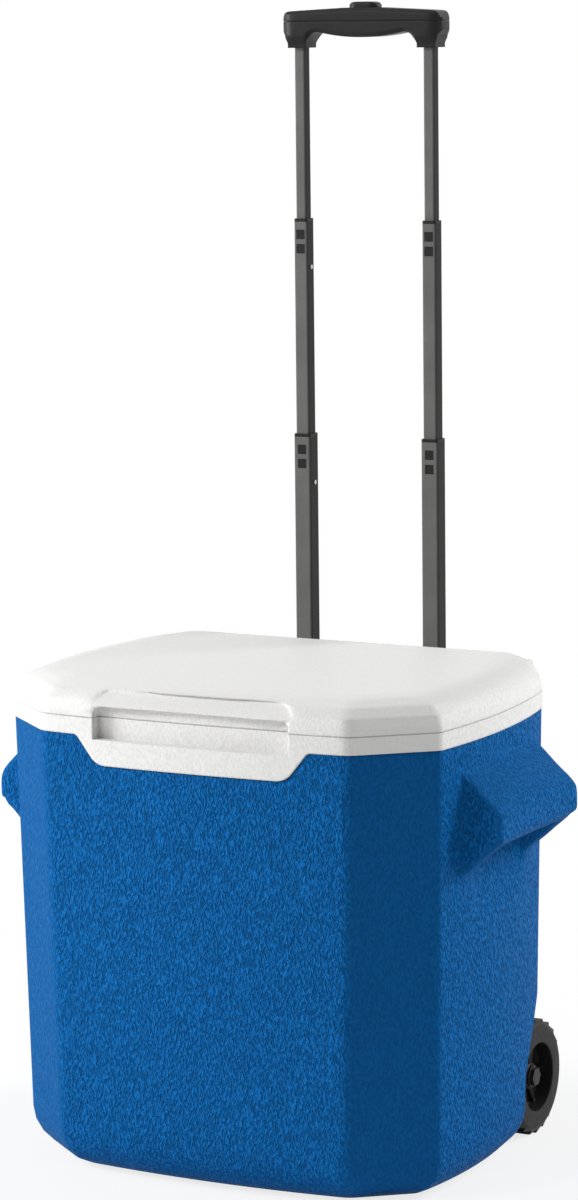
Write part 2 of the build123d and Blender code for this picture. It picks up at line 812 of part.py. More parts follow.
with BuildPart() as lid_foam:
    add(lid_form(lid_wall + foam_gap, lid_base_z + lid_pan_thickness + foam_gap,
                 lid_wall + foam_gap, 3, KINKED))
    add(lid_notch(lid_wall + foam_gap), mode=Mode.SUBTRACT)
    add(lid_brow(lid_wall + foam_gap), mode=Mode.SUBTRACT)
    add(plan_block(plug_wall + plug_taper + lid_pan_thickness + foam_gap,
                   plug_bottom_z + lid_pan_thickness + foam_gap, lid_top_z - 8.0, FLAT))
    add(centred_box(-through, through, hinge_block_y - foam_gap, through, 0, through),
        mode=Mode.SUBTRACT)
    add(centred_box(
        boss_outer_x - hinge_boss_length - foam_gap, through,
        hinge_y - hinge_boss_half - foam_gap, through, 0, through), mode=Mode.SUBTRACT)
    add(centred_box(
        -through, -boss_outer_x + hinge_boss_length + foam_gap,
        hinge_y - hinge_boss_half - foam_gap, through, 0, through), mode=Mode.SUBTRACT)
export(lid_foam.part, "lid_foam")

# Hinge pins
with BuildPart() as hinge_pin:
    with BuildSketch(Plane.YZ.offset(hinge_knuckle_inner_x - hinge_pin_length / 2)):
        with Locations((hinge_y, hinge_z)):
            Circle(hinge_pin_radius)
    extrude(amount=hinge_pin_length - 2 * hinge_pin_end_gap)
export(hinge_pin.part, "hinge_pin_right")
export(mirror(hinge_pin.part, about=Plane.YZ), "hinge_pin_left")

# Wheels, each one moulding that turns on a stub axle, with saw-tooth lugs
def lug_points():
    """Outline of the tread: each lug's tip, then the foot of the step behind it."""
    points = []
    for lug in range(wheel_lugs):
        turn = radians(-90.0 + 360.0 * lug / wheel_lugs)
        for radius in (wheel_radius - wheel_lug_depth, wheel_radius):
            points.append((wheel_y + radius * cos(turn), wheel_z + radius * sin(turn)))
    return points


with BuildPart() as wheel:
    with BuildSketch(Plane.YZ.offset(wheel_inner_x)):
        with BuildLine():
            Polyline(lug_points(), close=True)
        make_face()
    extrude(amount=wheel_width)
    with BuildSketch(Plane.YZ.offset(wheel_face_x)):
        with Locations((wheel_y, wheel_z)):
            Circle(wheel_recess_radius)
    extrude(amount=-wheel_recess_depth, mode=Mode.SUBTRACT)
    with BuildSketch(Plane.YZ.offset(wheel_inner_x)):
        with Locations((wheel_y, wheel_z)):
            Circle(wheel_inner_recess_radius)
            Circle(wheel_hub_radius, mode=Mode.SUBTRACT)
    extrude(amount=wheel_inner_recess_depth, mode=Mode.SUBTRACT)
    with BuildSketch(Plane.YZ.offset(wheel_face_x - wheel_recess_depth)):
        with Locations((wheel_y, wheel_z)):
            Circle(wheel_hub_radius)
    extrude(amount=wheel_recess_depth - wheel_hub_setback)
    with BuildSketch(Plane.YZ.offset(wheel_face_x - wheel_recess_depth)):
        with Locations((wheel_y, wheel_z)):
            with PolarLocations(0, wheel_spokes):
                Rectangle(wheel_recess_radius + 0.5, wheel_spoke_width,
                          align=(Align.MIN, Align.CENTER))
    extrude(amount=wheel_recess_depth - wheel_spoke_setback)
    with BuildSketch(Plane.YZ.offset(wheel_inner_x)):
        with Locations((wheel_y, wheel_z)):
            Circle(axle_radius + running_clearance)
    extrude(amount=wheel_width, mode=Mode.SUBTRACT)
export(wheel.part, "wheel_right")
export(mirror(wheel.part, about=Plane.YZ), "wheel_left")

# Each stub axle runs from its blind boss in the shell into its hub cap
hub_face_x = wheel_face_x - wheel_hub_setback
axle_inner_x = well_inner_x - axle_grip_length + shell_wall + axle_end_gap
with BuildPart() as stub_axle:
    with BuildSketch(Plane.YZ.offset(axle_inner_x)):
        with Locations((wheel_y, wheel_z)):
            Circle(axle_radius)
    extrude(amount=hub_face_x + hub_cap_gap + hub_cap_bore_depth - axle_inner_x)
export(stub_axle.part, "axle_right")
export(mirror(stub_axle.part, about=Plane.YZ), "axle_left")

with BuildPart() as hub_cap:
    with BuildSketch(Plane.YZ.offset(hub_face_x + hub_cap_gap)):
        with Locations((wheel_y, wheel_z)):
            Circle(hub_cap_radius)
    extrude(amount=hub_cap_flange)
    with BuildSketch(Plane.YZ.offset(hub_face_x + hub_cap_gap)):
        with Locations((wheel_y, wheel_z)):
            RegularPolygon(hub_cap_radius - hub_cap_flange, 6)
    extrude(amount=hub_cap_thickness)
    with BuildSketch(Plane.YZ.offset(hub_face_x + hub_cap_gap)):
        with Locations((wheel_y, wheel_z)):
            Circle(axle_radius + running_clearance)
    extrude(amount=hub_cap_bore_depth + running_clearance, mode=Mode.SUBTRACT)
export(hub_cap.part, "hub_cap_right")
export(mirror(hub_cap.part, about=Plane.YZ), "hub_cap_left")


# Telescoping handle
def tube_section(width, depth, x):
    """Rounded rectangle of a tube's outside, centred on one side of the mast."""
    with Locations((x, mast_y)):
        RectangleRounded(width, depth, tube_corner_radius)


def bore_section(width, depth, x):
    """Plain rectangle of what fits in a tube, centred on one side of the mast."""
    with Locations((x, mast_y)):
        Rectangle(width, depth)


def lock_hole(x, height, reach):
    """Round hole through the tube wall that faces the middle of the mast."""
    inward = -1 if x > 0 else 1
    with BuildPart() as hole:
        with BuildSketch(Plane.YZ.offset(x)):
            with Locations((mast_y, height)):
                Circle(lock_pin_radius + lock_hole_clearance)
        extrude(amount=inward * reach)
    return hole.part


def tube(width, depth, x, bottom, top, windows, holes):
    """Steel tube with its collar windows and lock holes."""
    with BuildPart() as body:
        with BuildSketch(Plane.XY.offset(bottom)):
            tube_section(width, depth, x)
            with Locations((x, mast_y)):
                Rectangle(width - 2 * tube_wall, depth - 2 * tube_wall, mode=Mode.SUBTRACT)
        extrude(amount=top - bottom)
        if windows:
            for centre in (top + collar_flange - window_first - window_size / 2,
                           top + collar_flange - window_first - window_size / 2
                           - window_spacing):
                with BuildSketch(Plane.XZ.offset(-mast_y)):
                    with Locations((x, centre)):
                        Rectangle(window_size, window_size)
                extrude(amount=depth, mode=Mode.SUBTRACT)
        for height in holes:
            add(lock_hole(x, height, width), mode=Mode.SUBTRACT)
    return body.part


def collar(width, depth, x, top):
    """Guide collar in a tube's top, with its flange, sleeve and two snap lugs."""
    flange_bottom = top - collar_flange
    inner_width = width - stage_step + 2 * collar_running_gap
    inner_depth = depth - stage_step + 2 * collar_running_gap
    with BuildPart() as ring:
        with BuildSketch(Plane.XY.offset(flange_bottom)):
            tube_section(width, depth, x)
        extrude(amount=collar_flange)
        with BuildSketch(Plane.XY.offset(flange_bottom - collar_sleeve)):
            bore_section(width - 2 * (tube_wall + collar_fit_gap),
                         depth - 2 * (tube_wall + collar_fit_gap), x)
        extrude(amount=collar_sleeve)
        for drop in (0.0, window_spacing):
            with BuildSketch(Plane.XZ.offset(-mast_y)):
                with Locations((x, top - window_first - window_size / 2 - drop)):
                    Rectangle(window_size - 2 * window_clearance,
                              window_size - 2 * window_clearance)
            extrude(amount=depth / 2 - window_clearance / 2)
        with BuildSketch(Plane.XY.offset(flange_bottom - collar_sleeve)):
            bore_section(inner_width, inner_depth, x)
        extrude(amount=collar_sleeve + collar_flange, mode=Mode.SUBTRACT)
    return ring.part


def foot(width, depth, x, bottom):
    """Guide foot in a tube's lower end, which slides in the next tube."""
    slide_width = width + stage_step - 2 * (tube_wall + collar_running_gap)
    slide_depth = depth + stage_step - 2 * (tube_wall + collar_running_gap)
    plug_width = width - 2 * (tube_wall + collar_fit_gap)
    plug_depth = depth - 2 * (tube_wall + collar_fit_gap)
    with BuildPart() as guide:
        with BuildSketch(Plane.XY.offset(bottom - foot_flange)):
            bore_section(slide_width, slide_depth, x)
        extrude(amount=foot_flange)
        with BuildSketch(Plane.XY.offset(bottom - foot_flange)):
            bore_section(plug_width, plug_depth, x)
        extrude(amount=foot_flange + foot_plug)
        with BuildSketch(Plane.XY.offset(bottom - foot_flange)):
            bore_section(plug_width - 2 * foot_bore_wall, plug_depth - 2 * foot_bore_wall, x)
        extrude(amount=foot_flange + foot_plug, mode=Mode.SUBTRACT)
    return guide.part


def lock_spring(width, x, bottom):
    """Folded leaf spring inside a tube, with the pin that locks the stage."""
    inward = -1 if x > 0 else 1
    near = width / 2 - tube_wall - collar_fit_gap
    pin_z = bottom + lock_pin_height
    pin_end = width / 2 + stage_step / 2 + lock_pin_proud
    with BuildPart() as spring:
        with BuildSketch(Plane.XZ.offset(-mast_y)):
            with BuildLine():
                Polyline(
                    (x + inward * near, bottom + lock_leaf_bottom),
                    (x + inward * near, bottom + lock_leaf_top),
                    (x - inward * near, bottom + lock_leaf_top),
                    (x - inward * near, bottom + lock_leaf_bottom),
                    (x - inward * (near - lock_leaf_thickness), bottom + lock_leaf_bottom),
                    (x - inward * (near - lock_leaf_thickness),
                     bottom + lock_leaf_top - lock_leaf_thickness),
                    (x + inward * (near - lock_leaf_thickness),
                     bottom + lock_leaf_top - lock_leaf_thickness),
                    (x + inward * (near - lock_leaf_thickness), bottom + lock_leaf_bottom),
                    close=True,
                )
            make_face()
        extrude(amount=lock_leaf_width / 2, both=True)
        with BuildSketch(Plane.YZ.offset(x + inward * (near - lock_leaf_thickness / 2))):
            with Locations((mast_y, pin_z)):
                Circle(lock_pin_radius)
        extrude(amount=inward * (pin_end - near + lock_leaf_thickness / 2))
    return spring.part


lock_hole_lower = lower_bottom_z + lock_pin_height
lock_hole_middle = middle_bottom_z + lock_pin_height
lock_hole_upper = upper_bottom_z + lock_pin_height
grip_socket_top_z = grip_cavity_bottom_z - 1.0
for side, x in (("left", -mast_half_spacing), ("right", mast_half_spacing)):
    inner_locks = side == "left"
    export(tube(base_width, base_depth, x, base_bottom_z, base_top_z - collar_flange, True,
                [lock_hole_lower] if inner_locks else []), f"base_tube_{side}")
    export(tube(lower_width, lower_depth, x, lower_bottom_z, lower_top_z - collar_flange,
                True, [lock_hole_lower, lock_hole_middle] if inner_locks else []),
           f"lower_tube_{side}")
    export(tube(middle_width, middle_depth, x, middle_bottom_z,
                middle_top_z - collar_flange, True,
                [lock_hole_middle, lock_hole_upper] if inner_locks else [lock_hole_upper]),
           f"middle_tube_{side}")
    export(tube(upper_width, upper_depth, x, upper_bottom_z, grip_socket_top_z, False,
                [lock_hole_upper]), f"upper_tube_{side}")
    export(collar(base_width, base_depth, x, base_top_z), f"base_collar_{side}")
    export(collar(lower_width, lower_depth, x, lower_top_z), f"lower_collar_{side}")
    export(collar(middle_width, middle_depth, x, middle_top_z), f"middle_collar_{side}")
    export(foot(lower_width, lower_depth, x, lower_bottom_z), f"lower_foot_{side}")
    export(foot(middle_width, middle_depth, x, middle_bottom_z), f"middle_foot_{side}")
    export(foot(upper_width, upper_depth, x, upper_bottom_z), f"upper_foot_{side}")
    export(lock_spring(upper_width, x, upper_bottom_z), f"upper_lock_{side}")
    if inner_locks:
        export(lock_spring(middle_width, x, middle_bottom_z), f"middle_lock_{side}")
        export(lock_spring(lower_width, x, lower_bottom_z), f"lower_lock_{side}")

    # Plug that closes the base tube's lower end
    with BuildPart() as base_plug:
        with BuildSketch(Plane.XY.offset(base_bottom_z - foot_flange)):
            tube_section(base_width, base_depth, x)
        extrude(amount=foot_flange)
        with BuildSketch(Plane.XY.offset(base_bottom_z)):
            bore_section(base_width - 2 * (tube_wall + collar_fit_gap),
                         base_depth - 2 * (tube_wall + collar_fit_gap), x)
        extrude(amount=foot_plug)
    export(base_plug.part, f"base_plug_{side}")

# Grip, in a body with the legs and a cap above its seam
leg_outer_x = mast_half_spacing + grip_leg_outer
leg_inner_x = mast_half_spacing - grip_leg_inner
with BuildPart() as grip_form:
    with BuildSketch(Plane.XZ.offset(-mast_y)) as grip_side:
        with BuildLine():
            Polyline(
                (0, grip_belly_z),
                (0, grip_top_z),
                (button_half_length + button_crown_margin, grip_top_z),
                (grip_half_length, grip_shoulder_z),
                (grip_half_length, grip_arch_z + grip_leg_lip),
                (leg_outer_x, grip_arch_z - grip_leg_step),
                (leg_outer_x, grip_bottom_z),
                (leg_inner_x, grip_bottom_z),
                (leg_inner_x, grip_arch_z),
                (grip_arch_x, grip_arch_z),
            )
            ThreePointArc((grip_arch_x, grip_arch_z),
                          (grip_arch_x / 2, grip_belly_z + (grip_arch_z - grip_belly_z) / 4),
                          (0, grip_belly_z))
        make_face()
        corners = grip_side.vertices()
        fillet(corners.filter_by_position(Axis.Y, grip_shoulder_z - 0.1,
                                          grip_shoulder_z + 0.1), grip_end_radius)
        fillet(grip_side.vertices().filter_by_position(
            Axis.Y, grip_arch_z - 0.1, grip_arch_z + 0.1).sort_by(Axis.X)[-1:],
            grip_arch_radius)
        mirror(about=Plane.YZ)
    extrude(amount=grip_depth / 2, both=True)
    ends = grip_form.faces().filter_by(Axis.Y)
    chamfer(ends.edges().filter_by(lambda edge: edge.center().Z > grip_bottom_z + 1.0),
            grip_edge_chamfer)

with BuildPart() as grip_inside:
    add(centred_box(-grip_cavity_half, grip_cavity_half, mast_y - grip_cavity_depth / 2,
                    mast_y + grip_cavity_depth / 2, grip_cavity_bottom_z, grip_cavity_top_z))
    with BuildSketch(Plane.XY.offset(grip_bottom_z - 1.0)):
        for x in (-mast_half_spacing, mast_half_spacing):
            tube_section(upper_width + 2 * collar_fit_gap, upper_depth + 2 * collar_fit_gap, x)
    extrude(amount=grip_cavity_bottom_z - grip_bottom_z + 1.0)
    with BuildSketch(Plane.XY.offset(grip_split_z)):
        with Locations((0, mast_y)):
            SlotOverall(2 * (button_half_length + button_clearance),
                        2 * (button_half_depth + button_clearance))
    extrude(amount=grip_depth)
    with BuildSketch(Plane.XY.offset(spring_seat_z)):
        with Locations((0, mast_y)):
            Circle(spring_radius + button_clearance)
    extrude(amount=grip_cavity_bottom_z - spring_seat_z)

grip_screw_z = grip_bottom_z + grip_screw_rise
with BuildPart() as grip_body:
    add(grip_form)
    add(grip_inside, mode=Mode.SUBTRACT)
    split(bisect_by=Plane.XY.offset(grip_split_z), keep=Keep.BOTTOM)
    with BuildSketch(Plane.XZ.offset(-(mast_y + grip_depth / 2))):
        with Locations((-mast_half_spacing, grip_screw_z), (mast_half_spacing, grip_screw_z)):
            Circle(screw_shank_radius + running_clearance)
    extrude(amount=(grip_depth - upper_depth) / 2, mode=Mode.SUBTRACT)
export(grip_body.part, "grip_body")

with BuildPart() as grip_cap:
    add(grip_form)
    add(grip_inside, mode=Mode.SUBTRACT)
    split(bisect_by=Plane.XY.offset(grip_split_z + grip_seam), keep=Keep.TOP)
export(grip_cap.part, "grip_cap")

with BuildPart() as grip_screws:
    with BuildSketch(Plane.XZ.offset(-(mast_y + grip_depth / 2))):
        with Locations((-mast_half_spacing, grip_screw_z), (mast_half_spacing, grip_screw_z)):
            Circle(screw_shank_radius)
    extrude(amount=(grip_depth - upper_depth) / 2 - grip_screw_gap)
    with BuildSketch(Plane.XZ.offset(-(mast_y + grip_depth / 2))):
        with Locations((-mast_half_spacing, grip_screw_z), (mast_half_spacing, grip_screw_z)):
            RegularPolygon(screw_head_radius, 6)
    extrude(amount=-screw_head_height)
export(grip_screws.part, "grip_screws")

# Release button with its cross bar and rods
bar_bottom_z = grip_cavity_bottom_z + button_travel + button_stop_gap
button_base_z = grip_split_z + button_travel + button_stop_gap
rod_bottom_z = upper_bottom_z + lock_leaf_top + button_travel + release_rod_gap
with BuildPart() as release_button:
    with BuildSketch(Plane.XY.offset(button_base_z)):
        with Locations((0, mast_y)):
            SlotOverall(2 * button_half_length, 2 * button_half_depth)
    extrude(amount=button_top_z - button_base_z)
    chamfer(release_button.faces().sort_by(Axis.Z)[-1].edges(), button_edge)
    add(centred_box(-button_stem_half, button_stem_half, mast_y - release_bar_depth / 2,
                    mast_y + release_bar_depth / 2, bar_bottom_z + release_bar_height,
                    button_base_z))
export(release_button.part, "release_button")

with BuildPart() as release_bar:
    add(centred_box(-release_bar_half, release_bar_half, mast_y - release_bar_depth / 2,
                    mast_y + release_bar_depth / 2, bar_bottom_z,
                    bar_bottom_z + release_bar_height))
    with BuildSketch(Plane.XY.offset(rod_bottom_z)):
        with Locations((-mast_half_spacing, mast_y), (mast_half_spacing, mast_y)):
            Circle(release_rod_radius)
    extrude(amount=bar_bottom_z - rod_bottom_z)
export(release_bar.part, "release_bar")

# Return spring, hidden in the grip and drawn as the sleeve that its coils fill
with BuildPart() as button_spring:
    with BuildSketch(Plane.XY.offset(spring_seat_z + running_clearance)):
        with Locations((0, mast_y)):
            Circle(spring_radius)
            Circle(spring_radius - spring_wall, mode=Mode.SUBTRACT)
    extrude(amount=bar_bottom_z - spring_seat_z - 2 * running_clearance)
export(button_spring.part, "button_spring")


# Brackets that hold the base tubes on the back panel
def bracket(top):
    """Moulded bar with a sleeve round each base tube."""
    bottom = top - bracket_height
    sleeve_width = base_width + 2 * bracket_sleeve_wall
    sleeve_depth = base_depth + 2 * bracket_sleeve_wall
    bar_depth = mast_y - base_depth / 2 - back_y + bracket_sleeve_wall
    with BuildPart() as bar:
        with BuildSketch(Plane.XY.offset(bottom)):
            with Locations((0, back_y + bracket_seat_gap)):
                Rectangle(2 * mast_half_spacing, bar_depth, align=(Align.CENTER, Align.MIN))
            with Locations((-mast_half_spacing, back_y + bracket_seat_gap),
                           (mast_half_spacing, back_y + bracket_seat_gap)):
                Rectangle(sleeve_width, mast_y + sleeve_depth / 2 - back_y - bracket_seat_gap,
                          align=(Align.CENTER, Align.MIN))
        extrude(amount=bracket_height)
        fillet(bar.edges().filter_by(Axis.Z).group_by(Axis.Y)[-1], bracket_corner_radius)
        with BuildSketch(Plane.XY.offset(bottom)):
            for x in (-mast_half_spacing, mast_half_spacing):
                bore_section(base_width + 2 * running_clearance,
                             base_depth + 2 * running_clearance, x)
        extrude(amount=bracket_height, mode=Mode.SUBTRACT)
        with BuildSketch(Plane.XZ.offset(-back_y)):
            with Locations(*bracket_screw_places(top)):
                Circle(screw_shank_radius + running_clearance)
        extrude(amount=-through, mode=Mode.SUBTRACT)
    return bar.part


def bracket_screw_places(top):
    """X and Z of a bracket's screws."""
    middle = top - bracket_height / 2
    return [(x, middle) for x in (-bracket_screw_x, bracket_screw_x)]


export(bracket(upper_bracket_top_z), "upper_bracket")
export(bracket(lower_bracket_top_z), "lower_bracket")
bracket_face_y = mast_y - base_depth / 2 + bracket_sleeve_wall + bracket_seat_gap
with BuildPart() as bracket_screws:
    for top in (upper_bracket_top_z, lower_bracket_top_z):
        with BuildSketch(Plane.XZ.offset(-bracket_face_y)):
            with Locations(*bracket_screw_places(top)):
                RegularPolygon(screw_head_radius, 6)
        extrude(amount=-screw_head_height)
        with BuildSketch(Plane.XZ.offset(-bracket_face_y)):
            with Locations(*bracket_screw_places(top)):
                Circle(screw_shank_radius)
        extrude(amount=bracket_face_y - back_y - bracket_screw_gap)
export(bracket_screws.part, "bracket_screws")
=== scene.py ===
"""Looks of a hard-sided wheeled cooler with a telescoping pull handle.

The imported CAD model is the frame. Each visible moulding is dressed as a smooth-shaded copy of
its CAD solid or, where the looks need more, rebuilt in finer form around the same sizes.
Everything is in metres, +Z up, with the front panel facing -Y.
"""

from __future__ import annotations

import json
import logging
import math
from contextlib import contextmanager
from dataclasses import dataclass
from enum import Enum
from functools import cache
from typing import Callable, Iterator, Sequence

import bmesh
import bpy
from mathutils import Matrix, Vector

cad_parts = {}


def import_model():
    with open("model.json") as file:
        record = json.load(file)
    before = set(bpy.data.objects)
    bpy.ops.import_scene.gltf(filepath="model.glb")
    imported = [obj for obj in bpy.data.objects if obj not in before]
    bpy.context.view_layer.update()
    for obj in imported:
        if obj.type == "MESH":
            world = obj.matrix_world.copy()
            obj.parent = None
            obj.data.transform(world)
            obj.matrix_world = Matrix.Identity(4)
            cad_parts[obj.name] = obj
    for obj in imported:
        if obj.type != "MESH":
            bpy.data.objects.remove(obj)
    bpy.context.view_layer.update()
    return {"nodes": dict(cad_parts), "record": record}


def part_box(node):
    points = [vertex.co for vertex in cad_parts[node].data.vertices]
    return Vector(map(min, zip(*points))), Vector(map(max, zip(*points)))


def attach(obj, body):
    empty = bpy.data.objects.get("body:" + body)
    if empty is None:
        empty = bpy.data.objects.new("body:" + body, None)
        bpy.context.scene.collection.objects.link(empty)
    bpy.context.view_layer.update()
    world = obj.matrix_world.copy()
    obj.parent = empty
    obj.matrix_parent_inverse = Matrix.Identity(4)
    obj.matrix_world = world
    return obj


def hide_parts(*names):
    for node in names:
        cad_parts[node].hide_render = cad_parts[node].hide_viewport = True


LOG = logging.getLogger("wheeled_cooler")
MM = 0.001
WELD = 0.004 * MM
SLIVER = 0.002 * MM
CREASE = 32.0  # degrees; an edge that turns by more stays sharp
WHITE = (1.0, 1.0, 1.0, 1.0)
Triple = tuple[float, float, float]
Work = bmesh.types.BMesh
Piece = bpy.types.Object
Node = bpy.types.Node
Socket = bpy.types.NodeSocket


class Body(Enum):
    """Moving groups of the cooler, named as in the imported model."""

    COOLER = "cooler_body"
    LID = "lid"
    WHEEL_LEFT = "wheel_left"
    WHEEL_RIGHT = "wheel_right"
    LOWER_STAGE = "lower_stage"
    MIDDLE_STAGE = "middle_stage"
    UPPER_STAGE = "upper_stage"
    BUTTON = "release_button"


class Slot(Enum):
    """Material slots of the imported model."""

    SHELL = "shell"
    WHITE = "white_plastic"
    FOAM = "foam"
    WHEEL = "wheel_plastic"
    HUB = "hub_plastic"
    TUBE = "tube_paint"
    COLLAR = "collar_plastic"
    GRIP = "grip_plastic"
    BRACKET = "bracket_plastic"
    STEEL = "steel"


class Sheet:
    """Short way to lay out a node tree.

    A source is a socket, a constant, or a node that stands for its first output.
    """

    def __init__(self, tree: bpy.types.NodeTree) -> None:
        """Take the tree."""
        self.tree = tree

    def link(self, source: object, target: Socket) -> None:
        """Give an input its source."""
        if isinstance(source, Node):
            source = source.outputs[0]
        if isinstance(source, Socket):
            self.tree.links.new(source, target)
        else:
            target.default_value = source

    def feed(self, node: Node, **sources: object) -> Node:
        """Give some inputs of a node their sources.

        Args:
            node: The node.
            **sources: A source for each input's name, with underscores for its spaces.

        Returns:
            The node.
        """
        for name, source in sources.items():
            self.link(source, node.inputs[name.replace("_", " ")])
        return node

    def add(self, kind: str, *sources: object, **settings: object) -> Node:
        """Add a node.

        Args:
            kind: The node's type.
            *sources: A source, or None, for each input in turn.
            **settings: Node attributes, and sources of inputs, whose names start with a capital.

        Returns:
            The new node.
        """
        node = self.tree.nodes.new(kind)
        named = {key: value for key, value in settings.items() if key[0].isupper()}
        for key, value in settings.items():
            if key not in named:
                setattr(node, key, value)
        for place, source in enumerate(sources):
            if source is not None:
                self.link(source, node.inputs[place])
        return self.feed(node, **named)

    def maths(self, operation: str, *sources: object) -> Node:
        """Math node with an operation and its sources."""
        return self.add("ShaderNodeMath", *sources, operation=operation)

    def seen(self) -> Node:
        """Value 1 for rays from the camera, also by gloss or glass, and 0 for lighting."""
        path = self.add("ShaderNodeLightPath").outputs
        straight_or_gloss = self.maths("MAXIMUM", path["Is Camera Ray"], path["Is Glossy Ray"])
        return self.maths("MAXIMUM", straight_or_gloss, path["Is Transmission Ray"])


class MaterialSheet(Sheet):
    """Sheet of a new material with a Principled shader."""

    def __init__(self, name: str) -> None:
        """Make the material.

        Args:
            name: The material's name.
        """
        self.material = bpy.data.materials.new(name)
        self.material.use_nodes = True
        super().__init__(self.material.node_tree)
        self.shader = self.tree.nodes["Principled BSDF"]
        self.place = self.add("ShaderNodeTexCoord").outputs["Object"]

    def noise(self, size: float, detail: float = 2.0, **sources: object) -> Node:
        """Noise whose features have about a given size.

        Args:
            size: Feature size in metres.
            detail: Octaves of finer noise.
            **sources: Sources of further inputs.

        Returns:
            The noise, with its factor first.
        """
        inputs = {"Scale": 1.0 / size, "Detail": detail, "Vector": self.place, **sources}
        return self.add("ShaderNodeTexNoise", **inputs)

    def spread(self, source: object, low: float, high: float, from_low: float = 0.3,
               from_high: float = 0.7) -> Node:
        """Map a value to a range.

        Args:
            source: The value.
            low: Result at from_low.
            high: Result at from_high.
            from_low: Lower end of the source's range.
            from_high: Upper end of the source's range.

        Returns:
            The mapped value.
        """
        return self.add("ShaderNodeMapRange", source, From_Min=from_low, From_Max=from_high,
                        To_Min=low, To_Max=high)

    def blend(self, factor: object, first: Triple | Socket, second: Triple) -> Socket:
        """Blend two colours by a factor.

        Args:
            factor: 0 gives the first colour, 1 the second.
            first: Linear RGB or a socket.
            second: Linear RGB.

        Returns:
            The blended colour.
        """
        start = first if isinstance(first, Socket) else (*first, 1.0)
        return self.add("ShaderNodeMix", data_type="RGBA", Factor=factor, A=start,
                        B=(*second, 1.0)).outputs["Result"]

    def clouded(self, size: float, first: Triple, second: Triple) -> Socket:
        """Colour that drifts between two colours in clouds of about a size in metres."""
        return self.blend(self.spread(self.noise(size), 0.0, 1.0), first, second)

    def facing(self) -> tuple[Node, ...]:
        """How far the surface faces along X and along Y, each squared, from 0 to 1."""
        normal = self.add("ShaderNodeTexCoord").outputs["Normal"]
        parts = self.add("ShaderNodeSeparateXYZ", normal).outputs
        return tuple(self.maths("MULTIPLY", parts[axis], parts[axis]) for axis in "XY")

    def rounded(self, radius: float) -> Node:
        """Normal that rounds off the edges of a surface by a radius in metres."""
        return self.add("ShaderNodeBevel", radius, samples=6)

    def bump(self, height: object, distance: float, strength: object = 1.0,
             under: Node | None = None) -> Node:
        """Raise the surface by a height.

        Args:
            height: Height from 0 to 1.
            distance: Metres that a height of 1 stands for.
            strength: Share of the bump that shows.
            under: A coarser bump's normal to build on.

        Returns:
            The bumped normal.
        """
        node = self.add("ShaderNodeBump", Distance=distance, Strength=strength, Height=height)
        return node if under is None else self.feed(node, Normal=under)


@dataclass(frozen=True)
class Finish:
    """A procedural material.

    Args:
        name: The material's name.
        colour: Its main colour as linear RGB.
    """

    name: str
    colour: Triple

    def material(self) -> bpy.types.Material:
        """Build the material once and return it."""
        if self.name in bpy.data.materials:
            return bpy.data.materials[self.name]
        sheet = MaterialSheet(self.name)
        self.lay_out(sheet)
        return sheet.material

    def lay_out(self, sheet: MaterialSheet) -> None:
        """Lay out the material's nodes."""
        raise NotImplementedError

    def shade(self, share: float) -> Triple:
        """Scale the colour, keeping it at most 1."""
        return tuple(min(1.0, channel * share) for channel in self.colour)


@dataclass(frozen=True)
class PebbledPlastic(Finish):
    """Moulded polyethylene with a leathery pebble grain.

    Args:
        roughness: Basic roughness.
        pebble: Size of a pebble in metres.
        grain_depth: Depth of the creases between pebbles in metres.
        crease_painted_shade: Share of the colour that is left in a crease, as painted shade.
        edge_round: Radius that softens the moulding's edges, in metres.
        specular: Specular level of the plastic.
        ior: Index of refraction, which sets the sheen at a grazing angle.
        corner_grain: Share of the grain that is left on the slanted corner faces.
        corner_band: How square-on a face is where the grain starts to grow and is full.
        slant: Turn of the pebbles about the Y axis.
        stretch: Density of the pebbles along each turned axis.
        kink: Roughness and distortion of the noise that makes the pebbles.
        relief_band: Noise in the depth of a crease and on top of a pebble.
        top_painted_highlight: Share of the colour on top of a pebble, as a painted highlight.
        gloss_steps: What a crease and a top add to the roughness.
    """

    roughness: float
    pebble: float
    grain_depth: float
    crease_painted_shade: float
    edge_round: float
    specular: float
    ior: float = 1.2
    corner_grain: float = 0.3
    corner_band: tuple[float, float] = (0.3, 0.9)
    slant: float = math.radians(-48.0)
    stretch: Triple = (1.35, 1.0, 0.65)
    kink: tuple[float, float] = (0.45, 0.5)
    relief_band: tuple[float, float] = (0.34, 0.66)
    top_painted_highlight: float = 1.12
    gloss_steps: tuple[float, float] = (0.15, -0.05)

    def lay_out(self, sheet: MaterialSheet) -> None:
        """Lay out the grain with painted shade and highlight, weaker on the slanted corner
        faces.
        """
        slanted = sheet.add("ShaderNodeMapping", sheet.place,
                            Rotation=(0.0, self.slant, 0.0), Scale=self.stretch)
        pebbles = sheet.noise(self.pebble, 1.0, Roughness=self.kink[0],
                              Distortion=self.kink[1], Vector=slanted)
        relief = sheet.spread(pebbles, 0.0, 1.0, *self.relief_band)
        square_on = sheet.maths("ABSOLUTE", sheet.maths("SUBTRACT", *sheet.facing()))
        strength = sheet.spread(square_on, self.corner_grain, 1.0, *self.corner_band)
        # The crease colour is painted shade and the top colour a painted highlight; both thin
        # out on corner faces.
        painted_light = sheet.maths("MULTIPLY", relief, strength)
        crease, top = (self.roughness + step for step in self.gloss_steps)
        sheet.feed(
            sheet.shader, Specular_IOR_Level=self.specular, IOR=self.ior,
            Base_Color=sheet.blend(painted_light, self.shade(self.crease_painted_shade),
                                   self.shade(self.top_painted_highlight)),
            Roughness=sheet.spread(relief, crease, top, 0.0, 1.0),
            Normal=sheet.bump(relief, self.grain_depth, strength,
                              sheet.rounded(self.edge_round)))


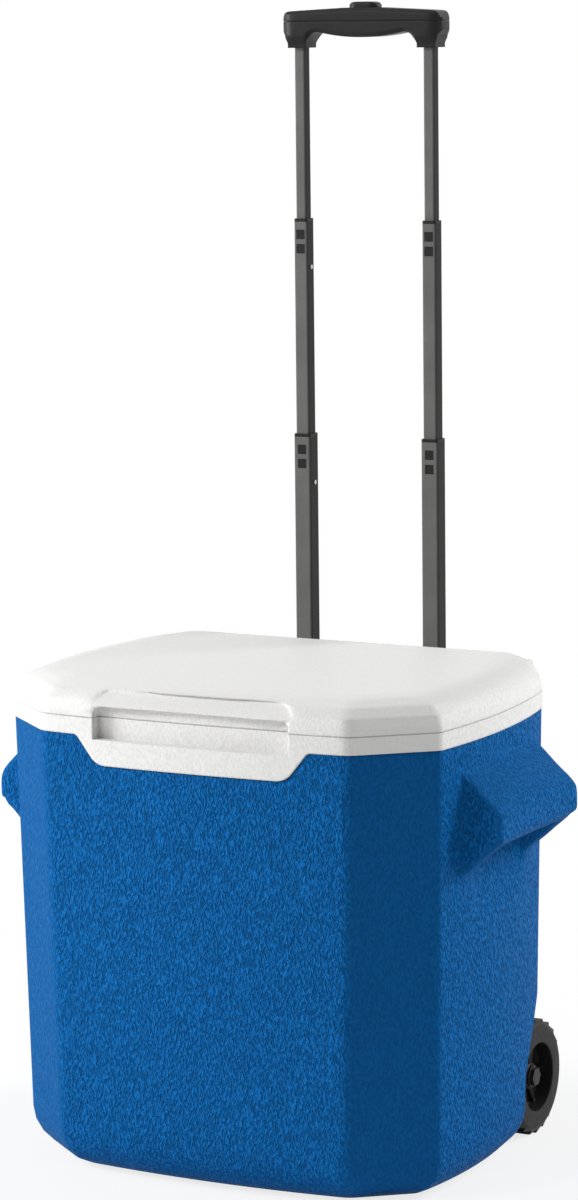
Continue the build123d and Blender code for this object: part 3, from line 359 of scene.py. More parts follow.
@dataclass(frozen=True)
class PlainMoulding(Finish):
    """Smooth black moulding with a faint spark-eroded texture.

    Args:
        roughness: Middle roughness.
        edge_round: Radius that softens the edges, in metres.
        specular: Specular level.
        cloud: Size of the clouds in the colour, in metres.
        gloss_patch: Size of duller and glossier patches, in metres.
        grain: Size of the texture's grain in metres.
        grain_depth: Depth of the texture in metres.
    """

    roughness: float
    edge_round: float = 1.0 * MM
    specular: float = 0.16
    cloud: float = 12.0 * MM
    gloss_patch: float = 5.0 * MM
    grain: float = 0.8 * MM
    grain_depth: float = 0.03 * MM

    def lay_out(self, sheet: MaterialSheet) -> None:
        """Lay out a clouded colour, an uneven gloss and the texture."""
        sheet.feed(
            sheet.shader, Specular_IOR_Level=self.specular,
            Base_Color=sheet.clouded(self.cloud, self.shade(0.9), self.shade(1.12)),
            Roughness=sheet.spread(sheet.noise(self.gloss_patch), self.roughness - 0.05,
                                   self.roughness + 0.05),
            Normal=sheet.bump(sheet.noise(self.grain, 3.0), self.grain_depth, 0.7,
                              sheet.rounded(self.edge_round)))


@dataclass(frozen=True)
class CoatedSteel(Finish):
    """Steel tube under a semi-gloss dark coat, with fine lengthwise drawing lines.

    Args:
        roughness: Middle roughness.
        specular: Specular level.
        flank_painted_shade: Share of the colour left on faces along the YZ plane, as painted
            shade.
        cloud: Size of the clouds in the colour, in metres.
        line: Width of a drawing line in metres.
        line_stretch: Density of the lines along each axis.
        line_depth: Depth of a line in metres.
    """

    roughness: float
    specular: float = 0.1
    flank_painted_shade: float = 0.04
    cloud: float = 30.0 * MM
    line: float = 0.5 * MM
    line_stretch: Triple = (1.0, 1.0, 0.02)
    line_depth: float = 0.015 * MM

    def lay_out(self, sheet: MaterialSheet) -> None:
        """Lay out the coat, darkened by painted shade on its flanks, over the drawing lines."""
        along = sheet.add("ShaderNodeMapping", sheet.place, Scale=self.line_stretch)
        lines = sheet.noise(self.line, Vector=along)
        coat = sheet.clouded(self.cloud, self.shade(0.93), self.shade(1.08))
        # Faces along the YZ plane get painted shade, darker than the tube's front faces.
        sheet.feed(
            sheet.shader, Specular_IOR_Level=self.specular,
            Base_Color=sheet.blend(sheet.facing()[0], coat, self.shade(self.flank_painted_shade)),
            Roughness=sheet.spread(lines, self.roughness - 0.04, self.roughness + 0.06),
            Normal=sheet.bump(lines, self.line_depth, 0.4))


@dataclass(frozen=True)
class PlatedSteel(Finish):
    """Zinc-plated steel of pins, screws and springs.

    Args:
        cloud: Size of the clouds in the colour, in metres.
        gloss_patch: Size of duller and glossier patches, in metres.
        gloss: Lowest and highest roughness.
    """

    cloud: float = 3.0 * MM
    gloss_patch: float = 1.5 * MM
    gloss: tuple[float, float] = (0.28, 0.42)

    def lay_out(self, sheet: MaterialSheet) -> None:
        """Lay out bright metal with an uneven gloss."""
        sheet.feed(sheet.shader, Metallic=1.0,
                   Base_Color=sheet.clouded(self.cloud, self.shade(0.9), self.colour),
                   Roughness=sheet.spread(sheet.noise(self.gloss_patch), *self.gloss))


@dataclass(frozen=True)
class RigidFoam(Finish):
    """Poured insulating foam with small closed cells.

    Args:
        roughness: Roughness.
        cell: Size of a cell in metres.
        cell_depth: Depth of a cut cell in metres.
    """

    roughness: float = 0.9
    cell: float = 0.8 * MM
    cell_depth: float = 0.2 * MM

    def lay_out(self, sheet: MaterialSheet) -> None:
        """Lay out the cells."""
        cells = sheet.add("ShaderNodeTexVoronoi", sheet.place, Scale=1.0 / self.cell)
        sheet.feed(sheet.shader, Roughness=self.roughness,
                   Base_Color=sheet.blend(cells, self.shade(0.8), self.colour),
                   Normal=sheet.bump(cells, self.cell_depth, 0.6))


FINISHES = {
    Slot.SHELL: PebbledPlastic(
        "blue_grained_shell", (0.006, 0.128, 0.4), roughness=0.5, pebble=2.4 * MM,
        grain_depth=1.5 * MM, crease_painted_shade=0.56, edge_round=4.0 * MM, specular=0.08),
    Slot.WHITE: PebbledPlastic(
        "white_grained_lid", (0.67, 0.667, 0.655), roughness=0.5, pebble=2.0 * MM,
        grain_depth=0.05 * MM, crease_painted_shade=0.98, edge_round=2.5 * MM, specular=0.35, ior=1.45),
    Slot.FOAM: RigidFoam("insulating_foam", (0.74, 0.62, 0.36)),
    Slot.WHEEL: PlainMoulding("black_wheel", (0.010, 0.010, 0.011), 0.5),
    Slot.HUB: PlainMoulding("black_hub_cap", (0.02, 0.02, 0.021), 0.42, 0.6 * MM),
    Slot.TUBE: CoatedSteel("dark_coated_steel", (0.12, 0.12, 0.118), 0.3),
    Slot.COLLAR: PlainMoulding("black_collar", (0.010, 0.010, 0.0105), 0.45, 0.4 * MM),
    Slot.GRIP: PlainMoulding("black_grip", (0.012, 0.012, 0.0125), 0.4, 2.5 * MM),
    Slot.BRACKET: PlainMoulding("black_bracket", (0.014, 0.014, 0.015), 0.55),
    Slot.STEEL: PlatedSteel("plated_steel", (0.52, 0.52, 0.5)),
}


def scene_object(name: str, data: bpy.types.ID) -> Piece:
    """Put a mesh, a lamp or a camera into the scene as an object at the origin.

    Args:
        name: The object's name.
        data: What it holds.

    Returns:
        The new object.
    """
    made = bpy.data.objects.new(name, data)
    bpy.context.scene.collection.objects.link(made)
    return made


@contextmanager
def editing(mesh: bpy.types.Mesh) -> Iterator[Work]:
    """Open a mesh for editing and write it back at the end.

    Args:
        mesh: The mesh.

    Yields:
        Its editable form.
    """
    work = bmesh.new()
    work.from_mesh(mesh)
    yield work
    work.to_mesh(mesh)
    work.free()


def settle(made: Piece) -> None:
    """Apply an object's modifiers, leaving a plain mesh."""
    bpy.context.view_layer.update()
    evaluated = made.evaluated_get(bpy.context.evaluated_depsgraph_get())
    plain = bpy.data.meshes.new_from_object(evaluated)
    made.modifiers.clear()
    made.data = plain


def soften(made: Piece, crease: float = CREASE) -> None:
    """Shade a piece smooth up to a crease angle in degrees, with large faces kept flat."""
    with editing(made.data) as work:
        for face in work.faces:
            face.smooth = True
        for edge in work.edges:
            edge.smooth = edge.is_manifold and edge.calc_face_angle(0.0) < math.radians(crease)
    shade = made.modifiers.new("area weighted shading", "WEIGHTED_NORMAL")
    shade.keep_sharp = True
    settle(made)


def smooth_copy(node: Piece) -> Piece:
    """Copy a CAD solid with welded corners and smooth shading up to a crease angle.

    Args:
        node: The CAD node's object.

    Returns:
        The copy, at the origin.
    """
    mesh = bpy.data.meshes.new(node.name + "_dressed")
    work = bmesh.new()
    work.from_mesh(node.data)
    bmesh.ops.remove_doubles(work, verts=work.verts, dist=WELD)
    bmesh.ops.dissolve_degenerate(work, edges=work.edges, dist=SLIVER)
    work.to_mesh(mesh)
    work.free()
    made = scene_object(node.name + "_dressed", mesh)
    soften(made)
    return made


def cut_grid(work: Work, cuts: Sequence[tuple[int, float]],
             wanted: Callable[[Vector], bool] = lambda centre: True) -> None:
    """Cut a mesh by planes, so that it can be bent between them.

    Args:
        work: The mesh.
        cuts: Axis number and place of each plane.
        wanted: Says of a face's centre whether the face is cut.
    """
    for axis, place in cuts:
        faces = [face for face in work.faces if wanted(face.calc_center_median())]
        corners = dict.fromkeys(vertex for face in faces for vertex in face.verts)
        edges = dict.fromkeys(edge for face in faces for edge in face.edges)
        normal = Vector((0.0, 0.0, 0.0))
        normal[axis] = 1.0
        bmesh.ops.bisect_plane(work, geom=[*corners, *edges, *faces], dist=1e-6,
                               plane_co=normal * place, plane_no=normal)


def every(start: float, stop: float, step: float) -> list[float]:
    """Places from start up to stop, a step apart."""
    return [start + step * place for place in range(int((stop - start) / step) + 1)]


def relax(work: Work, zone: list[bmesh.types.BMVert], rounds: int) -> None:
    """Round off the edges among some corners by evening them out a number of times."""
    for _ in range(rounds):
        bmesh.ops.smooth_vert(work, verts=zone, factor=0.5, use_axis_x=True, use_axis_y=True,
                              use_axis_z=True)


def clamped(value: float) -> float:
    """Hold a value between 0 and 1."""
    return min(1.0, max(0.0, value))


def closed_mesh(name: str, points: Sequence[Triple], faces: Sequence[Sequence[int]]) -> Piece:
    """Make a piece from points and faces, with its normals pointing outwards.

    Args:
        name: The piece's name.
        points: Corners in metres.
        faces: Corner numbers of each face.

    Returns:
        The piece.
    """
    mesh = bpy.data.meshes.new(name)
    mesh.from_pydata(points, [], faces)
    with editing(mesh) as work:
        bmesh.ops.recalc_face_normals(work, faces=work.faces)
    return scene_object(name, mesh)


def band_faces(start: int, after: int, sides: int) -> list[tuple[int, ...]]:
    """Faces between two rings of points.

    Args:
        start: Number of the first ring's first point.
        after: Number of the second ring's first point.
        sides: How many points each ring has.

    Returns:
        Four corner numbers a face.
    """
    steps = [(side, (side + 1) % sides) for side in range(sides)]
    return [(start + side, start + step, after + step, after + side) for side, step in steps]


class TreeSheet(Sheet):
    """Sheet of a geometry node tree with named inputs."""

    def __init__(self, name: str) -> None:
        """Start a tree that passes one geometry.

        Args:
            name: The tree's name.
        """
        super().__init__(bpy.data.node_groups.new(name, "GeometryNodeTree"))
        for side in ("INPUT", "OUTPUT"):
            self.tree.interface.new_socket("Geometry", in_out=side,
                                           socket_type="NodeSocketGeometry")
        self.entry = self.add("NodeGroupInput")

    def ask(self, name: str, kind: str) -> Socket:
        """Add a named input.

        Args:
            name: The input's name.
            kind: Its socket type without the "NodeSocket" start.

        Returns:
            The input's socket inside the tree.
        """
        self.tree.interface.new_socket(name, in_out="INPUT", socket_type="NodeSocket" + kind)
        return self.entry.outputs[name]

    def close(self, geometry: Node) -> bpy.types.NodeTree:
        """End the tree in real geometry with one material, which it asks for.

        Args:
            geometry: What the tree made.

        Returns:
            The finished tree.
        """
        real = self.add("GeometryNodeRealizeInstances", geometry)
        painted = self.add("GeometryNodeSetMaterial", real,
                           Material=self.ask("Material", "Material"))
        self.add("NodeGroupOutput", painted)
        return self.tree


@cache
def ring_tree() -> bpy.types.NodeTree:
    """Tree that sets copies of a part in a ring round the X axis and joins them to a base.

    Returns:
        The tree, made once.
    """
    sheet = TreeSheet("ring_of_parts")
    part = sheet.ask("Part", "Object")
    count = sheet.ask("Count", "Int")
    start = sheet.ask("Start angle", "Float")
    centre = sheet.ask("Centre", "Vector")
    share = sheet.maths("DIVIDE", sheet.add("GeometryNodeInputIndex"), count)
    turn = sheet.maths("MULTIPLY_ADD", share, math.tau, start)
    rotation = sheet.add("FunctionNodeEulerToRotation", sheet.add("ShaderNodeCombineXYZ", turn))
    source = sheet.add("GeometryNodeObjectInfo", part)
    copies = sheet.add("GeometryNodeInstanceOnPoints", sheet.add("GeometryNodePoints", count),
                       Instance=source.outputs["Geometry"], Rotation=rotation)
    joined = sheet.add("GeometryNodeJoinGeometry", copies)
    sheet.link(sheet.entry.outputs["Geometry"], joined.inputs[0])
    return sheet.close(sheet.add("GeometryNodeTransform", joined, Translation=centre))


@cache
def screw_tree() -> bpy.types.NodeTree:
    """Tree that sets a flanged hexagon screw at every point, its head facing +Y.

    Returns:
        The tree, made once.
    """
    sheet = TreeSheet("screws_at_points")
    screw = sheet.add("GeometryNodeJoinGeometry")
    for name, sides, side in (("Flange", 28, 0.5), ("Head", 6, 0.5), ("Shank", 16, -0.5)):
        radius = sheet.ask(name + " radius", "Float")
        height = sheet.ask(name + " height", "Float")
        drum = sheet.add("GeometryNodeMeshCylinder", sides, 1, 1, radius, height)
        lift = sheet.maths("MULTIPLY", height, side)
        offset = sheet.add("ShaderNodeCombineXYZ", None, None, lift)
        sheet.link(sheet.add("GeometryNodeTransform", drum, Translation=offset),
                   screw.inputs[0])
    rotation = sheet.add("FunctionNodeEulerToRotation", (-math.pi / 2, 0.0, 0.0))
    return sheet.close(sheet.add("GeometryNodeInstanceOnPoints",
                                 sheet.entry.outputs["Geometry"], Instance=screw,
                                 Rotation=rotation))


def grow(made: Piece, tree: bpy.types.NodeTree, **sizes: object) -> None:
    """Run a geometry node tree on a piece and leave a plain mesh.

    Args:
        made: The piece that the tree starts from.
        tree: The tree.
        **sizes: Value of each named input, with underscores for its spaces.
    """
    modifier = made.modifiers.new(tree.name, "NODES")
    modifier.node_group = tree
    for item in tree.interface.items_tree:
        key = item.name.replace(" ", "_").lower()
        if item.in_out == "INPUT" and key in sizes:
            modifier[item.identifier] = sizes[key]
    settle(made)


@dataclass
class SubAssembly:
    """Base of the cooler's sub-assemblies.

    Args:
        nodes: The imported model's objects by node name.
        slots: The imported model's material slot of each node.
    """

    nodes: dict[str, Piece]
    slots: dict[str, Slot]

    def paint(self, made: Piece, slot: Slot) -> None:
        """Give an object the finish of a slot."""
        made.data.materials.clear()
        made.data.materials.append(FINISHES[slot].material())

    def carry(self, *names: str) -> None:
        """Keep CAD nodes as they are, dressed in their slot's finish."""
        for name in names:
            self.paint(self.nodes[name], self.slots[name])
            LOG.info("carried %s", name)

    def dress(self, name: str, body: Body) -> None:
        """Replace a CAD node by its smooth-shaded copy, riding on a body."""
        self.stand_in(smooth_copy(self.nodes[name]), body, self.slots[name], name)

    def reshape(self, name: str, body: Body, bend: Callable[[Work], None]) -> None:
        """Replace a CAD node by a smooth-shaded copy in another shape.

        Args:
            name: The node.
            body: The body that the copy rides on.
            bend: Cuts and moves the copy's mesh while it is open for editing.
        """
        made = smooth_copy(self.nodes[name])
        with editing(made.data) as work:
            bend(work)
        soften(made)
        self.stand_in(made, body, self.slots[name], name)

    def stand_in(self, made: Piece, body: Body, slot: Slot, *names: str) -> None:
        """Let a finished piece stand for CAD nodes.

        Args:
            made: The finished piece.
            body: The body it rides on.
            slot: The slot that it takes its finish from.
            *names: The nodes that it replaces.
        """
        self.paint(made, slot)
        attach(made, body.value)
        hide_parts(*names)
        LOG.info("%s stands for %s (%d faces)", made.name, ", ".join(names),
                 len(made.data.polygons))


@dataclass
class CoolerBox(SubAssembly):
    """Blue shell, white liner with its rim, foam, axles and hinge pins.

    The side handles run from handle_root_x out to handle_limit_x inside handle_y and handle_z.
    """

    handle_near_x: float = 190.0 * MM
    handle_y: tuple[float, float] = (-95.0 * MM, 101.0 * MM)
    handle_z: tuple[float, float] = (222.0 * MM, 384.0 * MM)
    handle_mesh: float = 6.0 * MM
    handle_margin: float = 40.0 * MM
    handle_root_x: float = 212.0 * MM
    handle_limit_x: float = 243.7 * MM
    handle_middle_y: float = 3.0 * MM
    handle_half: float = 78.0 * MM
    handle_underside: float = 290.0 * MM
    handle_crown: float = 0.64
    handle_fade: float = 14.0 * MM
    handle_drop: float = 3.0 * MM
    handle_arch: float = 9.0 * MM
    handle_lift: float = 8.0 * MM
    handle_flare: tuple[float, float] = (0.15, 0.3)
    handle_rounds: int = 14

    def shape_handles(self, work: Work) -> None:
        """Arch and round the side handles, as they are blown in one piece with the shell.

        Args:
            work: The shell.
        """
        root, span = self.handle_root_x, self.handle_limit_x - self.handle_root_x
        low, top = self.handle_underside, self.handle_z[1]
        crown = low + self.handle_crown * (top - low)
        cuts = [(1, place) for place in every(*self.handle_y, self.handle_mesh)]
        cuts += [(2, place) for place in every(*self.handle_z, self.handle_mesh)]
        cuts += [(0, side * place) for side in (-1, 1) for place in
                 every(root + self.handle_mesh, self.handle_limit_x, self.handle_mesh)]
        cut_grid(work, cuts, lambda centre:
                 abs(centre.x) > self.handle_near_x - self.handle_margin)
        zone = [vertex for vertex in work.verts
                if abs(vertex.co.x) > self.handle_near_x
                and self.handle_y[0] < vertex.co.y < self.handle_y[1]
                and self.handle_z[0] < vertex.co.z < self.handle_z[1]]
        for vertex in zone:
            reach = max(0.0, (abs(vertex.co.x) - root) / span)
            off = abs(vertex.co.y - self.handle_middle_y)
            fade = clamped((self.handle_y[1] - self.handle_middle_y - off) / self.handle_fade)
            height = vertex.co.z
            share = min((height - low) / (crown - low), (top - height) / (top - crown))
            drop = self.handle_drop + self.handle_arch * min(1.0, off / self.handle_half) ** 2
            vertex.co.z += self.handle_lift * reach - drop * max(0.0, share) * fade
            flare = self.handle_flare[0 if vertex.co.y < self.handle_middle_y else 1]
            vertex.co.y += (vertex.co.y - self.handle_middle_y) * flare * reach
        relax(work, zone, self.handle_rounds)
        stretch = span / (max(abs(vertex.co.x) for vertex in zone) - root)
        for vertex in zone:
            reach = abs(vertex.co.x) - root
            if reach > 0.0:
                vertex.co.x = math.copysign(root + reach * stretch, vertex.co.x)

    def build(self) -> None:
        """Dress the box."""
        self.reshape("outer_shell", Body.COOLER, self.shape_handles)
        self.dress("liner", Body.COOLER)
        self.carry("body_foam", "hinge_pin_left", "hinge_pin_right", "axle_left",
                   "axle_right")
        self.dress("hub_cap_left", Body.COOLER)
        self.dress("hub_cap_right", Body.COOLER)


@dataclass
class Lid(SubAssembly):
    """White domed lid with the plate that closes its underside.

    The brow is the edge over the finger notch, and its crest the upper part of that edge.
    """

    brow_half: float = 124.0 * MM
    brow_reach: float = 25.0 * MM
    brow_foot: float = 3.5 * MM
    brow_mesh: float = 3.5 * MM
    brow_step: float = 7.0 * MM
    brow_below: float = 2.0 * MM
    brow_behind: float = 60.0 * MM
    brow_rounds: int = 4
    crest_rise: float = 8.0 * MM
    crest_rounds: int = 10

    def soften_brow(self, work: Work) -> None:
        """Blend the brow over the finger notch into the lid's bevel.

        Args:
            work: The lid.
        """
        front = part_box("lid_shell")[0][1]
        back = front + self.brow_reach
        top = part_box("lid_shell")[1][2]
        foot = self.brow_foot + min(vertex.co.z for vertex in work.verts
                                    if vertex.co.y < back)
        crest = foot + self.crest_rise
        cuts = [(0, place) for place in every(-self.brow_half, self.brow_half, self.brow_step)]
        cuts += [(1, place) for place in every(front, back, self.brow_mesh)]
        cuts += [(2, place) for place in every(foot, top, self.brow_mesh)]
        cut_grid(work, cuts, lambda centre: centre.z > foot - self.brow_below
                 and centre.y < back + self.brow_behind)
        zone = [vertex for vertex in work.verts if abs(vertex.co.x) < self.brow_half
                and vertex.co.y < back and vertex.co.z > foot]
        relax(work, zone, self.brow_rounds)
        relax(work, [vertex for vertex in zone if vertex.co.z > crest], self.crest_rounds)

    def build(self) -> None:
        """Dress the lid."""
        self.reshape("lid_shell", Body.LID, self.soften_brow)
        self.dress("lid_liner", Body.LID)
        self.carry("lid_foam")


@dataclass
class Wheels(SubAssembly):
    """Two moulded wheels with saw-tooth treads, ribbed webs and rounded shoulders.

    Depths and setbacks are measured inwards from the wheel's outer face. The shoulder and the
    spoke's back are outlines: depth and drop in metres, and shares of the spoke's half width.
    """

    centre: tuple[float, float] = (127.0 * MM, 51.6 * MM)
    face_x: float = 188.0 * MM
    width: float = 36.0 * MM
    radius: float = 51.6 * MM
    shoulder: tuple[tuple[float, float], ...] = (
        (0.0, 5.0 * MM), (0.5 * MM, 2.8 * MM), (1.8 * MM, 1.0 * MM), (4.0 * MM, 0.0))
    lugs: int = 22
    lug_depth: float = 2.6 * MM
    lug_root: float = 2.2 * MM
    lug_ends: tuple[float, float] = (1.3 * MM, 2.9 * MM)
    lug_length: float = 0.96
    lug_heel: float = 0.06 * MM
    lug_gap: float = 0.02 * MM
    recess_radius: float = 30.5 * MM
    recess_depth: float = 15.0 * MM
    inner_recess_radius: float = 40.0 * MM
    inner_recess_depth: float = 14.0 * MM
    corner: float = 1.2 * MM
    hub_radius: float = 12.0 * MM
    hub_setback: float = 7.5 * MM
    bore_radius: float = 4.05 * MM
    spokes: int = 6
    spoke_half: float = 2.5 * MM
    spoke_setback: float = 11.0 * MM
    spoke_back: tuple[tuple[float, float], ...] = ((1.0, 0.6), (0.7, 0.16))
    spoke_overlap: tuple[float, float] = (0.6 * MM, 0.4 * MM)
    segments: int = 132

    def profile(self) -> list[tuple[float, float]]:
        """Outline of the wheel's section, as distance inwards from its face and radius."""
        tread = self.radius - self.lug_depth
        floor, corner = self.recess_depth, self.corner
        inside = self.width - self.inner_recess_depth
        shoulder = [(depth, tread - drop) for depth, drop in self.shoulder]
        return [
            (self.hub_setback, self.bore_radius), (self.hub_setback, self.hub_radius - corner),
            (self.hub_setback + corner, self.hub_radius), (floor - corner, self.hub_radius),
            (floor, self.hub_radius + corner), (floor, self.recess_radius - 2 * corner),
            (floor - 0.6 * corner, self.recess_radius - 0.6 * corner),
            (floor - 2 * corner, self.recess_radius), (corner, self.recess_radius),
            (0.3 * corner, self.recess_radius + 0.3 * corner),
            (0.0, self.recess_radius + corner), *shoulder,
            *((self.width - depth, radius) for depth, radius in reversed(shoulder)),
            (self.width, self.inner_recess_radius), (inside, self.inner_recess_radius),
            (inside, self.hub_radius), (self.width, self.hub_radius),
            (self.width, self.bore_radius),
        ]

    def point(self, side: int, depth: float, radius: float, turn: float) -> Triple:
        """Point at a depth behind a wheel's face, a radius and an angle about the axis."""
        return (side * (self.face_x - depth), radius * math.cos(turn), radius * math.sin(turn))

    def disc(self, side: int) -> Piece:
        """Turn the wheel's section into a closed disc about the X axis.

        Args:
            side: 1 for the right wheel, -1 for the left one.

        Returns:
            The disc, centred on the axis.
        """
        outline = self.profile()
        count = len(outline)
        points = [self.point(side, *place, math.tau * step / self.segments)
                  for step in range(self.segments) for place in outline]
        faces = []
        for ring in range(self.segments):
            after = (ring + 1) % self.segments
            faces += band_faces(ring * count, after * count, count)
        return closed_mesh("wheel_disc", points, faces)

    def bar(self, name: str, points: Sequence[Triple]) -> Piece:
        """Make a bar between two end faces, the first half of its points being one of them."""
        half = len(points) // 2
        ends = [tuple(range(half)), tuple(range(2 * half - 1, half - 1, -1))]
        return closed_mesh(name, points, ends + band_faces(0, half, half))

    def lug(self, side: int) -> Piece:
        """Make one saw-tooth lug, its step at angle 0.

        Args:
            side: 1 for the right wheel, -1 for the left one.

        Returns:
            The lug.
        """
        heel = self.lug_length * (math.tau / self.lugs)
        low = self.radius - self.lug_depth
        foot, tip = self.lug_ends
        section = ((foot, low - self.lug_root, 0.0), (tip, self.radius - self.lug_gap, 0.0),
                   (tip, low + self.lug_heel, heel), (foot, low - self.lug_root, heel))
        return self.bar("tread_lug", [
            self.point(side, self.width - depth if far else depth, radius, turn)
            for far in (False, True) for depth, radius, turn in section])

    def spoke(self, side: int) -> Piece:
        """Make one rib of the web, with a rounded back, pointing along +Y.

        Args:
            side: 1 for the right wheel, -1 for the left one.

        Returns:
            The rib.
        """
        half, top = self.spoke_half, self.spoke_setback
        hub_overlap, overlap = self.spoke_overlap
        foot = self.recess_depth + overlap
        back = [(share * half, top + fall * half) for share, fall in self.spoke_back]
        section = [(-half, foot), *((-across, depth) for across, depth in back), (0.0, top),
                   *reversed(back), (half, foot)]
        return self.bar("web_rib", [
            (side * (self.face_x - depth), reach, across)
            for reach in (self.hub_radius - hub_overlap, self.recess_radius + overlap)
            for across, depth in section])

    def build(self) -> None:
        """Build both wheels."""
        for name, body, side in (("wheel_left", Body.WHEEL_LEFT, -1),
                                 ("wheel_right", Body.WHEEL_RIGHT, 1)):
            wheel = self.disc(side)
            wheel.name = name + "_moulding"
            material = FINISHES[Slot.WHEEL].material()
            for part, count, start, centre in (
                (self.lug(side), self.lugs, -math.pi / 2, (0.0, 0.0, 0.0)),
                (self.spoke(side), self.spokes, 0.0, (0.0, *self.centre)),
            ):
                grow(wheel, ring_tree(), part=part, count=count, start_angle=start,
                     centre=centre, material=material)
                bpy.data.objects.remove(part)
            soften(wheel)
            self.stand_in(wheel, body, Slot.WHEEL, name)


@dataclass
class TelescopingHandle(SubAssembly):
    """Four telescoping tubes a side, with collars, feet, locks, brackets and the grip.

    Screws are given by radius and height of each part, and by the places of their axes.
    cut_across and cut_up are the planes, in millimetres, between which the grip is bent.
    """

    screw_flange: tuple[float, float] = (4.5 * MM, 0.8 * MM)
    screw_head: tuple[float, float] = (3.7 * MM, 2.6 * MM)
    screw_shank: tuple[float, float] = (2.0 * MM, 7.0 * MM)
    screw_crease: float = 40.0
    bracket_screws: Triple = (34.0 * MM, 361.0 * MM, 101.0 * MM)
    grip_screws: tuple[float, float] = (63.75 * MM, 965.6 * MM)

    button_crown: float = 2.5 * MM
    button_cuts: int = 20
    grip_middle_y: float = 177.3 * MM
    grip_half_depth: float = 14.0 * MM
    grip_skin: float = 9.5 * MM
    grip_end_start: float = 66.5 * MM
    grip_end_reach: float = 15.6 * MM
    grip_end_kept: float = 13.0 * MM
    grip_end_fall: float = 2.5 * MM
    grip_end_round: float = 0.86
    grip_shoulder: float = 984.5 * MM
    leg_half_depth: float = 10.4 * MM
    leg_middle_x: float = 63.75 * MM
    leg_half_width: float = 8.9 * MM
    leg_skin: float = 1.0 * MM
    leg_reach: float = 14.0 * MM
    leg_fade: tuple[float, float] = (961.0 * MM, 967.5 * MM)
    cut_across: tuple[float, ...] = (44.0, 48.0, 52.0, 56.0, 60.0, 64.0, 67.0, 70.0, 72.5, 75.0,
                                     77.0, 79.0, 80.5)
    cut_up: tuple[float, ...] = (951.5, 953.5, 955.5, 957.5, 959.5, 961.5, 963.5, 965.5, 968.0,
                                 984.0, 987.0)

    def round_grip(self, work: Work) -> None:
        """Round the grip's ends and let its legs hug the tubes.

        Args:
            work: A half of the grip.
        """
        cuts = [(0, side * offset * MM) for offset in self.cut_across for side in (-1.0, 1.0)]
        cuts += [(2, height * MM) for height in self.cut_up]
        cut_grid(work, cuts)
        for vertex in work.verts:
            self.bend_grip(vertex)

    def bend_grip(self, vertex: bmesh.types.BMVert) -> None:
        """Move one corner of the grip in from its ends, its front and back, and its legs."""
        low, high = self.leg_fade
        depth = vertex.co.y - self.grip_middle_y
        across = abs(vertex.co.x)
        if across > self.grip_end_start:
            share = (across - self.grip_end_start) / self.grip_end_reach
            across = self.grip_end_start + share * self.grip_end_kept
            vertex.co.x = math.copysign(across, vertex.co.x)
            if vertex.co.z > self.grip_shoulder:
                vertex.co.z -= self.grip_end_fall * min(1.0, share) ** 3
        leg = clamped((high - vertex.co.z) / (high - low))
        leg = leg * leg * (3.0 - 2.0 * leg)
        if abs(depth) > self.grip_skin:
            end = clamped((across - self.grip_end_start) / self.grip_end_kept)
            limit = self.grip_half_depth * math.sqrt(1.0 - self.grip_end_round * end * end)
            limit += (min(limit, self.leg_half_depth) - limit) * leg
            vertex.co.y = self.grip_middle_y + math.copysign(min(abs(depth), limit), depth)
        offset = across - self.leg_middle_x
        if self.leg_half_width - self.leg_skin < abs(offset) < self.leg_reach and leg > 0.0:
            wanted = self.leg_middle_x + math.copysign(
                min(abs(offset), self.leg_half_width), offset)
            across += (wanted - across) * leg
            vertex.co.x = math.copysign(across, vertex.co.x)

    def crown_button(self, work: Work) -> None:
        """Round the button's top down to its two ends.

        Args:
            work: The button.
        """
        low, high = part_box("release_button")
        half = (high[0] - low[0]) / 2
        foot = high[2] - self.button_crown
        cut_grid(work, [(0, place) for place in
                        every(low[0], high[0], half / (self.button_cuts / 2))],
                 lambda centre: centre.z > foot)
        for vertex in work.verts:
            if vertex.co.z > foot:
                vertex.co.z -= self.button_crown * min(1.0, abs(vertex.co.x) / half) ** 4

    def screws(self, name: str, body: Body, places: Sequence[tuple[float, float]]) -> None:
        """Set flanged screws for a node of screws, with their heads facing back.

        Args:
            name: The node.
            body: The body that they ride on.
            places: X and Z of each screw.
        """
        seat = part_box(name)[1][1] - self.screw_head[1]
        mesh = bpy.data.meshes.new(name + "_flanged")
        mesh.from_pydata([(x, seat, z) for x, z in places], [], [])
        made = scene_object(name + "_flanged", mesh)
        grow(made, screw_tree(), flange_radius=self.screw_flange[0],
             flange_height=self.screw_flange[1], head_radius=self.screw_head[0],
             head_height=self.screw_head[1], shank_radius=self.screw_shank[0],
             shank_height=self.screw_shank[1], material=FINISHES[Slot.STEEL].material())
        soften(made, self.screw_crease)
        self.stand_in(made, body, Slot.STEEL, name)

    def build(self) -> None:
        """Dress the handle from its brackets up to the release button."""
        stages = {"base": Body.COOLER, "lower": Body.LOWER_STAGE,
                  "middle": Body.MIDDLE_STAGE, "upper": Body.UPPER_STAGE}
        for side in ("left", "right"):
            for stage, body in stages.items():
                self.dress(f"{stage}_tube_{side}", body)
                if stage != "upper":
                    self.dress(f"{stage}_collar_{side}", body)
                if stage != "base":
                    self.carry(f"{stage}_foot_{side}")
            self.carry(f"base_plug_{side}", f"upper_lock_{side}")
        self.carry("lower_lock_left", "middle_lock_left", "button_spring", "release_bar")
        across, upper, lower = self.bracket_screws
        self.screws("bracket_screws", Body.COOLER,
                    [(x, z) for x in (-across, across) for z in (upper, lower)])
        across, height = self.grip_screws
        self.screws("grip_screws", Body.UPPER_STAGE, [(-across, height), (across, height)])
        self.dress("upper_bracket", Body.COOLER)
        self.dress("lower_bracket", Body.COOLER)
        self.reshape("grip_body", Body.UPPER_STAGE, self.round_grip)
        self.reshape("grip_cap", Body.UPPER_STAGE, self.round_grip)
        self.reshape("release_button", Body.BUTTON, self.crown_button)


